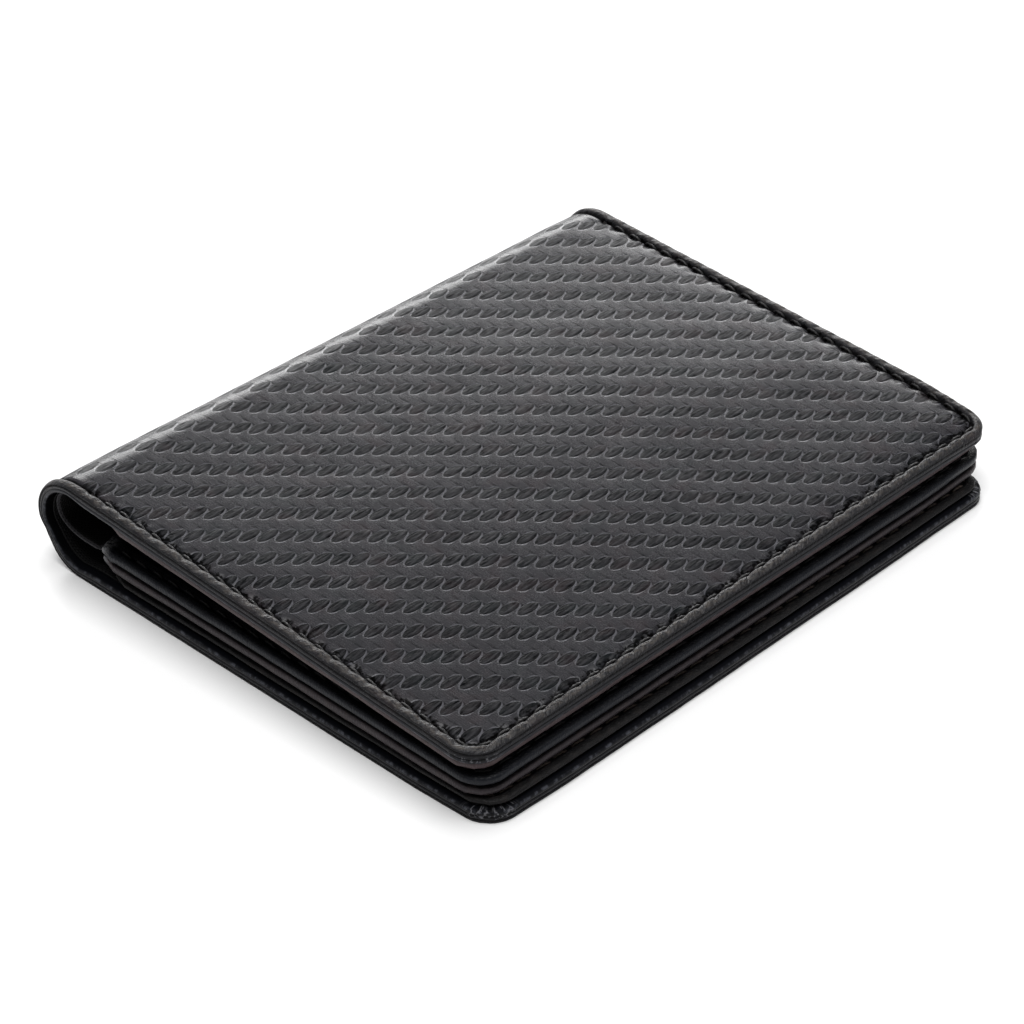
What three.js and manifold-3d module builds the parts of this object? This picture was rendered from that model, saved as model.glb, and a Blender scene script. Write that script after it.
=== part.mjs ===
// Portrait bifold wallet with a flip leaf, closed, lying on its back cover.
// Millimetres. +X runs from the spine to the fore-edge, +Y along the spine to
// the top edge, +Z up from the table. The origin is the middle of the base.
import * as THREE from 'three';
import * as BufferGeometryUtils from 'three/addons/utils/BufferGeometryUtils.js';
import Module from 'manifold-3d';

const wasm = await Module();
wasm.setup();

// ---- driving dimensions -------------------------------------------------
const HALF_W = 49.8;          // spine crown to fore-edge, halved
const HALF_H = 59.5;          // along the spine, halved
const SPINE_R = 8.45;         // outer radius of the spine roll
const LEATHER = 1.0;          // outer leather
const FRONT_TILT = 3.5;       // front cover slopes down to the fore-edge, degrees
const LEAF_TILT = 0.55;       // flip leaf slope, degrees
const FRONT_LEN = 87.6;       // flat length of the front cover
const CORNER_R = 5.0;         // plan radius of the covers' free corners
const HEM = 7.0;              // width of the turned hem
const STIFF_T = 0.4;          // stiffener board
const HEM_T = 0.5;            // turned-in leather, pared
const LINING_T = 0.2;
const PANEL_T = 0.9;
const TIER_T = 0.28;
const SLIP = 0.05;            // clearance between sewn layers
const HINGE_GAP = 0.25;       // half the slit between two spine strips
const FOLD = 45.875;           // bend taken by each of the four spine folds, degrees
const LEAF_HALF_H = 58.7;
const LEAF_X0 = -38.5, LEAF_Z0 = 7.7, LEAF_LEN = 85.5, LEAF_T = 3.5;
const LOOP_X = -43.6, LOOP_Z = 10.3, LOOP_R = 4.0, LOOP_T = 0.5;

const SPINE_X = -HALF_W + SPINE_R;      // axis of the spine roll
const SPINE_Z = SPINE_R;
const rad = (d) => (d * Math.PI) / 180;

// ---- materials ----------------------------------------------------------
const mat = (color, roughness) => new THREE.MeshStandardMaterial({ color, roughness, metalness: 0 });
const leather = () => mat(0x2b2a2c, 0.45);
const lining = () => mat(0x1d1d21, 0.7);
const board = () => mat(0x8d8475, 0.9);
const thread = () => mat(0x121215, 0.5);
const film = () => mat(0xc9d2d6, 0.15);

// ---- helpers ------------------------------------------------------------
const group = new THREE.Group();
const front = new THREE.Group();
const leaf = new THREE.Group();
group.add(front, leaf);

function solid(geometry) {
  const g = geometry.clone();
  g.deleteAttribute('normal');
  g.deleteAttribute('uv');
  const m = BufferGeometryUtils.mergeVertices(g, 1e-5);
  return new wasm.Manifold(new wasm.Mesh({
    numProp: 3,
    vertProperties: new Float32Array(m.attributes.position.array),
    triVerts: new Uint32Array(m.index.array),
  }));
}

function addNode(parent, name, body, material) {
  const mesh = body.getMesh();
  const g = new THREE.BufferGeometry();
  g.setAttribute('position', new THREE.BufferAttribute(new Float32Array(mesh.vertProperties), 3));
  g.setIndex(new THREE.BufferAttribute(new Uint32Array(mesh.triVerts), 1));
  const node = new THREE.Mesh(g, material);
  node.name = name;
  parent.add(node);
  return node;
}

// Plan outline: a rectangle with round corners, radii in the order
// (x0,y0) (x1,y0) (x1,y1) (x0,y1).
function outline(x0, x1, y0, y1, r) {
  const s = new THREE.Shape();
  const [a, b, c, d] = r;
  s.moveTo(x0 + a, y0);
  s.lineTo(x1 - b, y0);
  if (b > 0) s.absarc(x1 - b, y0 + b, b, -Math.PI / 2, 0, false);
  s.lineTo(x1, y1 - c);
  if (c > 0) s.absarc(x1 - c, y1 - c, c, 0, Math.PI / 2, false);
  s.lineTo(x0 + d, y1);
  if (d > 0) s.absarc(x0 + d, y1 - d, d, Math.PI / 2, Math.PI, false);
  s.lineTo(x0, y0 + a);
  if (a > 0) s.absarc(x0 + a, y0 + a, a, Math.PI, 1.5 * Math.PI, false);
  return s;
}

function plate(shape, z0, z1, bevel = 0) {
  const g = new THREE.ExtrudeGeometry(shape, {
    depth: z1 - z0 - 2 * bevel,
    bevelEnabled: bevel > 0,
    bevelSize: bevel,
    bevelThickness: bevel,
    bevelOffset: -bevel,
    bevelSegments: 2,
    curveSegments: 6,
    steps: 1,
  });
  g.translate(0, 0, z0 + bevel);
  return solid(g);
}

function block(x0, x1, y0, y1, z0, z1) {
  const g = new THREE.BoxGeometry(x1 - x0, y1 - y0, z1 - z0);
  g.translate((x0 + x1) / 2, (y0 + y1) / 2, (z0 + z1) / 2);
  return solid(g);
}

// Profile in X and Z, run along Y between -half and +half.
function strip(points, half) {
  const s = new THREE.Shape(points.map((p) => new THREE.Vector2(p[0], p[1])));
  const g = new THREE.ExtrudeGeometry(s, { depth: 2 * half, bevelEnabled: false, steps: 1 });
  g.rotateX(Math.PI / 2);
  g.translate(0, half, 0);
  return solid(g);
}

// Curved strip of leather or lining round (cx, cz), from angle a0 up to a1
// (degrees), its ends set back by gap so that neighbours stay clear.
function arcStrip(cx, cz, rOut, rIn, a0, a1, gap0, gap1, half, n = 8) {
  const pts = [];
  const at = (r, u) => {
    const lo = rad(a0) + gap0 / r;
    const hi = rad(a1) - gap1 / r;
    const a = lo + (hi - lo) * u;
    return [cx + r * Math.cos(a), cz + r * Math.sin(a)];
  };
  for (let i = 0; i <= n; i++) pts.push(at(rOut, i / n));
  for (let i = n; i >= 0; i--) pts.push(at(rIn, i / n));
  return strip(pts, half);
}

// A cover's outer leather: flat plate, turned edge on three sides and a pared
// hem folded in over the stiffener. Built with its outer face on z = 0 and
// the layers stacked towards +z; x = 0 is where the spine roll starts.
const LIP0 = LEATHER + STIFF_T + 2 * SLIP;
const LIP1 = LIP0 + HEM_T;
function coverShell(len, half, hemStart) {
  const b = 0.35;
  let body = plate(outline(-8, len, -half, half, [0, CORNER_R, CORNER_R, 0]), 0, LIP1, b);
  const channel = plate(outline(-9, len - 1.0, -half + 1.0, half - 1.0, [0, CORNER_R - 1, CORNER_R - 1, 0]), LEATHER, LIP0);
  const window_ = plate(outline(-9, len - HEM, -half + HEM, half - HEM, [0, 3, 3, 0]), LEATHER, LIP1 + 1);
  body = body.subtract(channel).subtract(window_);
  // The hem is cut away beside the spine, where the lining loop passes.
  body = body.subtract(block(-20, hemStart, -half - 1, half + 1, LEATHER, LIP1 + 1));
  return body.subtract(block(-20, 0, -half - 1, half + 1, -1, LIP1 + 1));
}
function inset(len, half, x0, d, z0, z1, bevel = 0) {
  return plate(outline(x0, len - d, -half + d, half - d, [0, Math.max(CORNER_R - d, 0.5), Math.max(CORNER_R - d, 0.5), 0]), z0, z1, bevel);
}
function seamLoop(len, half, x0, d, w, z0, z1) {
  const outer = plate(outline(x0, len - d, -half + d, half - d, [0, CORNER_R - d, CORNER_R - d, 0]), z0, z1);
  const inner = plate(outline(x0 - 1, len - d - w, -half + d + w, half - d - w, [0, CORNER_R - d - w, CORNER_R - d - w, 0]), z0 - 1, z1 + 1);
  return outer.subtract(inner);
}

const Z_LIN0 = LIP1 + SLIP;
const Z_LIN1 = Z_LIN0 + LINING_T;
const Z_PAN0 = Z_LIN1 + SLIP;

// ---- back cover (lies on the table) --------------------------------------
const BACK_LEN = HALF_W - SPINE_X;
const back = new THREE.Group();
back.position.set(SPINE_X, 0, 0);
group.add(back);
const HALF_FOLD = FOLD / 2;
{
  let shell = coverShell(BACK_LEN, HALF_H, 1.5);
  const lip = arcStrip(0, SPINE_R, SPINE_R, SPINE_R - LEATHER, 270 - HALF_FOLD, 270, HINGE_GAP, -0.02, HALF_H, 5);
  shell = shell.add(lip);
  addNode(back, 'back_shell', shell, leather());
  addNode(back, 'back_stiffener', inset(BACK_LEN, HALF_H, 2.0, 1.4, LEATHER + SLIP, LEATHER + SLIP + STIFF_T), board());
  addNode(back, 'back_lining', inset(BACK_LEN, HALF_H, 2.5, 1.2, Z_LIN0, Z_LIN1), lining());
  const panelTop = Z_PAN0 + PANEL_T - 0.15;
  addNode(back, 'back_pocket_panel', inset(BACK_LEN, HALF_H, 5.2, 0.8, Z_PAN0, panelTop, 0.2), leather());
  addNode(back, 'back_stitching', seamLoop(BACK_LEN, HALF_H, 6.0, 1.6, 0.55, panelTop + 0.03, panelTop + 0.15), thread());
}

// ---- spine roll: three strips of outer leather with their lining ----------
for (let k = 1; k <= 3; k++) {
  const a1 = 270 - HALF_FOLD - (k - 1) * FOLD;
  const a0 = a1 - FOLD;
  addNode(group, 'spine_shell_' + k, arcStrip(SPINE_X, SPINE_Z, SPINE_R, SPINE_R - LEATHER, a0, a1, HINGE_GAP, HINGE_GAP, HALF_H), leather());
  const r1 = SPINE_R - LEATHER - 0.1;
  addNode(group, 'spine_lining_' + k, arcStrip(SPINE_X, SPINE_Z, r1, r1 - 0.3, a0, a1, HINGE_GAP + 0.1, HINGE_GAP + 0.1, HALF_H - 1.5), lining());
}

// ---- front cover ----------------------------------------------------------
// Mirrored stack: outer face up. Local +z of the stack points down.
{
  const a = rad(90 - FRONT_TILT);
  front.position.set(SPINE_X + SPINE_R * Math.cos(a), 0, SPINE_Z + SPINE_R * Math.sin(a));
  front.rotation.y = rad(FRONT_TILT);
}
const flip = (m) => m.rotate([180, 0, 0]);
{
  let shell = flip(coverShell(FRONT_LEN, HALF_H, 1.5));
  const lip = arcStrip(0, -SPINE_R, SPINE_R, SPINE_R - LEATHER, 90, 90 + HALF_FOLD, -0.02, HINGE_GAP, HALF_H, 5);
  shell = shell.add(lip);
  addNode(front, 'front_shell', shell, leather());
  addNode(front, 'front_stiffener', flip(inset(FRONT_LEN, HALF_H, 5.3, 1.4, LEATHER + SLIP, LEATHER + SLIP + STIFF_T)), board());
  addNode(front, 'front_lining', flip(inset(FRONT_LEN, HALF_H, 5.2, 1.2, Z_LIN0, Z_LIN1)), lining());
  addNode(front, 'front_pocket_panel', flip(inset(FRONT_LEN, HALF_H, 5.2, 0.8, Z_PAN0, Z_PAN0 + PANEL_T, 0.2)), leather());
  // Three card tiers, mouths towards +Y, each lapping the one above it.
  const t0 = Z_PAN0 + PANEL_T + 0.02;
  const tiers = [[18, 36], [1, 22], [-57.6, 5]];
  tiers.forEach(([y0, y1], i) => {
    const z0 = t0 + i * (TIER_T + 0.02);
    const r = i === 2 ? 3.2 : 0;
    const s = outline(5.4, FRONT_LEN - 1.9, y0, y1, [0, r, 0, 0]);
    addNode(front, 'front_card_tier_' + (i + 1), flip(plate(s, z0, z0 + TIER_T)), leather());
  });
  // Seam along the three free edges of the outer face.
  addNode(front, 'front_stitching', flip(seamLoop(FRONT_LEN, HALF_H, 0.5, 1.9, 0.55, -0.15, -0.03)), thread());
}

// ---- flip leaf --------------------------------------------------------------
leaf.position.set(LEAF_X0, 0, LEAF_Z0);
leaf.rotation.y = rad(LEAF_TILT);
{
  const R = 4.5;
  const o = (d, x0 = d) => outline(x0, LEAF_LEN - d, -LEAF_HALF_H + d, LEAF_HALF_H - d, [0.8, R - d, R - d, 0.8]);
  // Upper panel frames a clear window for an identity card.
  const upT = 1.1;
  const wX0 = 7.0, wX1 = LEAF_LEN - 7.0, wY0 = -27, wY1 = 21;
  const upper = plate(o(0), -upT, 0, 0.25).subtract(plate(outline(wX0, wX1, wY0, wY1, [3, 3, 3, 3]), -upT - 1, 1));
  addNode(leaf, 'leaf_upper_panel', upper, leather());
  addNode(leaf, 'leaf_window_film', plate(outline(wX0 - 3, wX1 + 3, wY0 - 3, wY1 + 3, [1, 1, 1, 1]), -upT - 0.25, -upT - 0.05), film());
  addNode(leaf, 'leaf_core', plate(o(1.0), -upT - 0.7, -upT - 0.3), board());
  addNode(leaf, 'leaf_lower_panel', plate(o(0), -LEAF_T + 0.35, -upT - 0.75, 0.3), leather());
  const q = -LEAF_T + 0.33;
  addNode(leaf, 'leaf_card_tier_1', plate(outline(1.2, LEAF_LEN - 1.2, 8, 30, [0, 0, 0, 0]), q - 0.16, q), leather());
  addNode(leaf, 'leaf_card_tier_2', plate(outline(1.2, LEAF_LEN - 1.2, -57.5, 12, [0.4, 3.2, 0, 0]), q - 0.34, q - 0.18), leather());
  const so = outline(1.4, LEAF_LEN - 1.5, -LEAF_HALF_H + 1.5, LEAF_HALF_H - 1.5, [0.6, R - 1.5, R - 1.5, 0.6]);
  const si = outline(1.95, LEAF_LEN - 2.05, -LEAF_HALF_H + 2.05, LEAF_HALF_H - 2.05, [0.5, R - 2.05, R - 2.05, 0.5]);
  addNode(leaf, 'leaf_stitching', plate(so, 0.03, 0.15).subtract(plate(si, -1, 1)), thread());
}

// ---- lining loop that hangs the leaf from the front cover --------------------
{
  const half = LEAF_HALF_H - 1.0;
  // Front half: flange under the front cover, then a quarter turn down.
  const zf = LOOP_Z + LOOP_R;
  const pts = [];
  const n = 7;
  for (let i = 0; i <= n; i++) {
    const a = rad(90) + ((rad(90) - HINGE_GAP / LOOP_R) * i) / n;
    pts.push([LOOP_X + LOOP_R * Math.cos(a), LOOP_Z + LOOP_R * Math.sin(a)]);
  }
  const rin = LOOP_R - LOOP_T;
  for (let i = n; i >= 0; i--) {
    const a = rad(90) + ((rad(90) - HINGE_GAP / rin) * i) / n;
    pts.push([LOOP_X + rin * Math.cos(a), LOOP_Z + rin * Math.sin(a)]);
  }
  const xEnd = -35.95;
  const drop = (xEnd - LOOP_X) * Math.tan(rad(FRONT_TILT));
  pts.push([xEnd, zf - LOOP_T - drop]);
  pts.push([xEnd, zf - drop]);
  addNode(group, 'leaf_hinge_front_half', strip(pts, half), lining());
  // Leaf half: quarter turn in, then a flange to the leaf's folded edge.
  const low = [];
  for (let i = 0; i <= n; i++) {
    const a = rad(180) + HINGE_GAP / LOOP_R + ((rad(90) - HINGE_GAP / LOOP_R) * i) / n;
    low.push([LOOP_X + LOOP_R * Math.cos(a), LOOP_Z + LOOP_R * Math.sin(a)]);
  }
  low.push([LEAF_X0 - 0.3, LOOP_Z - LOOP_R]);
  low.push([LEAF_X0 - 0.3, LOOP_Z - LOOP_R + LOOP_T]);
  for (let i = n; i >= 0; i--) {
    const a = rad(180) + HINGE_GAP / rin + ((rad(90) - HINGE_GAP / rin) * i) / n;
    low.push([LOOP_X + rin * Math.cos(a), LOOP_Z + rin * Math.sin(a)]);
  }
  addNode(group, 'leaf_hinge_leaf_half', strip(low, half), lining());
}

export default group;
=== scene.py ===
# Looks for the portrait bifold wallet with a flip leaf. Everything is built in
# millimetres in the row frame and scaled to metres as the meshes are made.
import math

import bpy
import numpy as np
from mathutils import Matrix, Vector


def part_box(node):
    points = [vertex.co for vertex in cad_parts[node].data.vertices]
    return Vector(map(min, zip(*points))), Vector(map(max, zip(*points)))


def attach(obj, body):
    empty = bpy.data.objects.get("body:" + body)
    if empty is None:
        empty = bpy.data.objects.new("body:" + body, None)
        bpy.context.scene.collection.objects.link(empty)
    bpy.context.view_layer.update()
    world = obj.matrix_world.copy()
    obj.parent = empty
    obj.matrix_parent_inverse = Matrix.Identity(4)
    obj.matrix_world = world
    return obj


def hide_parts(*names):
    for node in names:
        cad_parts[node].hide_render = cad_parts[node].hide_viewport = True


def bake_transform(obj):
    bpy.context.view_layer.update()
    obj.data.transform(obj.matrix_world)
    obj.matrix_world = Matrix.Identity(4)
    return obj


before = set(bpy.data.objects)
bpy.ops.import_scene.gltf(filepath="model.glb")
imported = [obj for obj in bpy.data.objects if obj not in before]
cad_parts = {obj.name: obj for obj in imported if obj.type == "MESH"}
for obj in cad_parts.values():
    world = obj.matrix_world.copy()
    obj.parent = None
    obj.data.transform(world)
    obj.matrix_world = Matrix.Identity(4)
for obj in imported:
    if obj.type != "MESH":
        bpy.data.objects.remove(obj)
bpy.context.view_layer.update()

MM = 0.001
TAU = 2 * math.pi


# ---------------------------------------------------------------- frame facts
def mmbox(n):
    lo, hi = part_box(n)
    return np.array(lo) * 1000, np.array(hi) * 1000


_blo, _bhi = mmbox("back_shell")
_slo, _shi = mmbox("spine_shell_2")
HALF_H = _bhi[1]                       # 59.5, along the spine
XF = _bhi[0]                           # fore edge of the back cover
SPR = 8.45                             # spine roll
SPX = _slo[0] + SPR                    # its axis
SPZ = SPR
TILT = math.radians(3.5)               # front cover's slope
LTILT = math.radians(0.55)             # leaf's slope
FOLD = math.radians(45.875)
BACK_LEN = XF - SPX
FRONT_LEN = 87.6
ARC_LEN = SPR * 4 * FOLD
U1 = BACK_LEN                          # unrolled length: back, spine, front
U2 = U1 + ARC_LEN
UL = U2 + FRONT_LEN
CORNER = 5.0

ft = np.array([math.sin(TILT), 0, math.cos(TILT)])      # front cover's normal
fx = np.array([math.cos(TILT), 0, -math.sin(TILT)])
FP = np.array([SPX + SPR * math.sin(TILT), 0, SPZ + SPR * math.cos(TILT)])
lt = np.array([math.sin(LTILT), 0, math.cos(LTILT)])
lx = np.array([math.cos(LTILT), 0, -math.sin(LTILT)])
LP = np.array([-38.5, 0, 7.7])
LEAF_LEN, LEAF_HH = 85.5, 58.7


# ---------------------------------------------------------------- small maths
def sstep(x, a, b):
    t = np.clip((np.asarray(x, float) - a) / (b - a), 0, 1)
    return t * t * (3 - 2 * t)


def gauss(x, s):
    return np.exp(-(np.asarray(x) / s) ** 2)


def vnoise(x, y, seed=0):
    """Smooth value noise, -1 to 1, the same every run."""
    x, y = np.broadcast_arrays(np.asarray(x, float), np.asarray(y, float))
    xi, yi = np.floor(x).astype(np.int64), np.floor(y).astype(np.int64)
    a, b = x - xi, y - yi
    a, b = a * a * (3 - 2 * a), b * b * (3 - 2 * b)

    def h(i, j):
        n = (i * 374761393 + j * 668265263 + seed * 144269504) & 0xFFFFFFFF
        n = ((n ^ (n >> 13)) * 1274126177) & 0xFFFFFFFF
        n = n ^ (n >> 16)
        return (n & 0xFFFF) / 32767.5 - 1

    return (h(xi, yi) * (1 - a) + h(xi + 1, yi) * a) * (1 - b) + (
        h(xi, yi + 1) * (1 - a) + h(xi + 1, yi + 1) * a
    ) * b


def fbm(x, y, seed=0, octaves=3):
    s, k, t = 0.0, 1.0, 0.0
    for o in range(octaves):
        s = s + k * vnoise(x * 2**o, y * 2**o, seed + 17 * o)
        t += k
        k *= 0.5
    return s / t


# ---------------------------------------------------------------- twill emboss
TP = 2.0                               # yarn spacing
TPV = 1.985
TWU = U2 + 31.86                       # lattice origin, unrolled
TWV = -9.66
TWS = 0.0031                           # the film was laid a touch askew


LENS_L, LENS_W, LENS_P = 1.06, 0.485, 0.62


def twill(u, v):
    """Relief of the woven emboss. Floats along the spine are pointed ovals, two yarns
    long, each in its own shallow bed; the cross yarns between them lie nearly flat."""
    x, y = (u - TWU - TWS * v) / TP, (v - TWV) / TPV
    a, b = np.floor(x), np.floor(y)
    e = np.mod(y - a + 2, 4) - 2
    xi = x - a - 0.5
    w = LENS_W * np.clip(1 - (e / LENS_L) ** 2, 0, 1) ** LENS_P
    s = np.abs(xi) / np.maximum(w, 1e-3)
    lens = -0.10 + 0.34 * np.clip(1 - s ** 2.2, 0, 1)
    gap = np.maximum(np.abs(xi) - w, 0) + np.maximum(np.abs(e) - LENS_L, 0)
    f = np.mod(x - b - 1, 4) - 2
    yi = y - b - 0.5
    flat = 0.10 - 0.14 * np.exp(-gap / 0.10) - 0.10 * gauss(0.5 - np.abs(yi), 0.09) * sstep(f, -1.0, 0.4) + 0.10 * np.cos(0.5 * np.pi * f)
    return np.where((s < 1) & (np.abs(e) < LENS_L), lens, flat)


# ---------------------------------------------------------------- unrolled leather to space
def path(u):
    """Point and outward normal of the outer leather's face, in X and Z."""
    u = np.asarray(u, float)
    ang = np.radians(270) - np.clip((u - U1) / ARC_LEN, 0, 1) * 4 * FOLD
    c, s = np.cos(ang), np.sin(ang)
    x, z = SPX + SPR * c, SPZ + SPR * s
    back = u < U1
    front = u > U2
    x = np.where(back, SPX + (U1 - u), x)
    z = np.where(back, 0.0, z)
    x = np.where(front, FP[0] + (u - U2) * fx[0], x)
    z = np.where(front, FP[2] + (u - U2) * fx[2], z)
    nx = np.where(back, 0.0, np.where(front, ft[0], c))
    nz = np.where(back, -1.0, np.where(front, ft[2], s))
    return x, z, nx, nz


def roll_out(u, v, h):
    x, z, nx, nz = path(u)
    return np.stack([x + nx * h, np.asarray(v, float), z + nz * h], -1)


def on_front(x, y, z):
    x, y, z = np.broadcast_arrays(*[np.asarray(q, float) for q in (x, y, z)])
    return FP + x[..., None] * fx + y[..., None] * np.array([0, 1.0, 0]) + z[..., None] * ft


def on_leaf(x, y, z):
    x, y, z = np.broadcast_arrays(*[np.asarray(q, float) for q in (x, y, z)])
    return LP + x[..., None] * lx + y[..., None] * np.array([0, 1.0, 0]) + z[..., None] * lt


def on_back(x, y, z):
    x, y, z = np.broadcast_arrays(*[np.asarray(q, float) for q in (x, y, z)])
    return np.stack([SPX + x, y, z], -1)


def settle(p):
    """The small departures of the soft wallet from its drawn shape: the roll of the
    spine flares at the near end, and the free edges ease in a little."""
    x, y, z = p[..., 0].copy(), p[..., 1].copy(), p[..., 2].copy()
    out = np.stack([x, y, z], -1)
    k = sstep(-x, 33.0, 47.0)
    g = np.interp(z, [-0.5, 1.5, 4.0, 7.0, 9.0, 17.0], [0.25, 0.3, 0.55, 0.95, 1.0, 1.0])
    out[..., 0] += k * g * (-0.55 + 1.15 * y / 59.5)
    near = sstep(-y, 50.0, 59.5)
    gz = np.interp(z, [0, 1.5, 4.0, 6.0, 8.0, 11, 17], [0.9, 0.6, -0.5, -0.85, -0.1, 0.05, 0.0])
    out[..., 0] -= 0.8 * k * near * gz
    # far fore corners of the layers under the front cover tuck in, the back cover most
    c = sstep(x + y, 84.0, 112.0) * sstep(-z, -10.5, -6.0)
    low = sstep(-z, -4.0, -3.75)
    c2 = sstep(x + y, 66.0, 110.0) * low
    c3 = sstep(x - y, 92.0, 110.0) * low
    top = sstep(x + y, 88.0, 112.0) * sstep(z, 8.0, 10.5)
    out[..., 2] -= 0.9 * top
    out[..., 0] -= 0.35 * top
    out[..., 1] -= 0.55 * top
    out[..., 0] -= c * 0.9 * (1 - low) + 0.3 * c2 + 0.45 * sstep(x, 0.0, 45.0) * low + 0.4 * c3
    out[..., 1] -= c * 1.2 * (1 - low) + 3.7 * c2 - 0.4 * c3
    return out


# ---------------------------------------------------------------- meshes
def new_mesh(name, verts, faces, attrs=None, mat=None, normals=None, face_mat=None, mats=None):
    verts = np.ascontiguousarray(verts, np.float32) * MM
    me = bpy.data.meshes.new(name)
    quads = faces if isinstance(faces, np.ndarray) else np.array(faces, np.int32)
    n, k = quads.shape
    me.vertices.add(len(verts))
    me.vertices.foreach_set("co", verts.ravel())
    me.loops.add(n * k)
    me.loops.foreach_set("vertex_index", quads.astype(np.int32).ravel())
    me.polygons.add(n)
    me.polygons.foreach_set("loop_start", np.arange(0, n * k, k, dtype=np.int32))
    me.polygons.foreach_set("loop_total", np.full(n, k, np.int32))
    me.update(calc_edges=True)
    me.polygons.foreach_set("use_smooth", np.ones(n, bool))
    for key, val in (attrs or {}).items():
        a = me.attributes.new(key, "FLOAT_VECTOR", "POINT")
        a.data.foreach_set("vector", np.ascontiguousarray(val, np.float32).ravel())
    me.validate(clean_customdata=False)
    o = bpy.data.objects.new(name, me)
    bpy.context.scene.collection.objects.link(o)
    for m in mats or ([mat] if mat else []):
        me.materials.append(m)
    if face_mat is not None:
        me.polygons.foreach_set("material_index", np.ascontiguousarray(face_mat, np.int32))
    if normals is not None:
        me.normals_split_custom_set_from_vertices(np.ascontiguousarray(normals, np.float32))
    me.update()
    return o


def vertex_normals(verts, quads):
    a, b, c, d = (verts[quads[:, i]] for i in range(4))
    fn = np.cross(c - a, d - b)
    out = np.zeros_like(verts)
    for i in range(4):
        for k in range(3):
            out[:, k] += np.bincount(quads[:, i], fn[:, k], minlength=len(verts))
    return out / np.maximum(np.linalg.norm(out, axis=1, keepdims=True), 1e-12)


def axis_points(a, b, step, extra=()):
    """Even points from a to b, with any extra ones put on exactly."""
    marks = sorted([a, b, *extra])
    pts = [marks[0]]
    for p, q in zip(marks[:-1], marks[1:]):
        n = max(1, int(round((q - p) / step)))
        pts.extend(list(p + (q - p) * np.arange(1, n + 1) / n))
    return np.array(pts)


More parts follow.
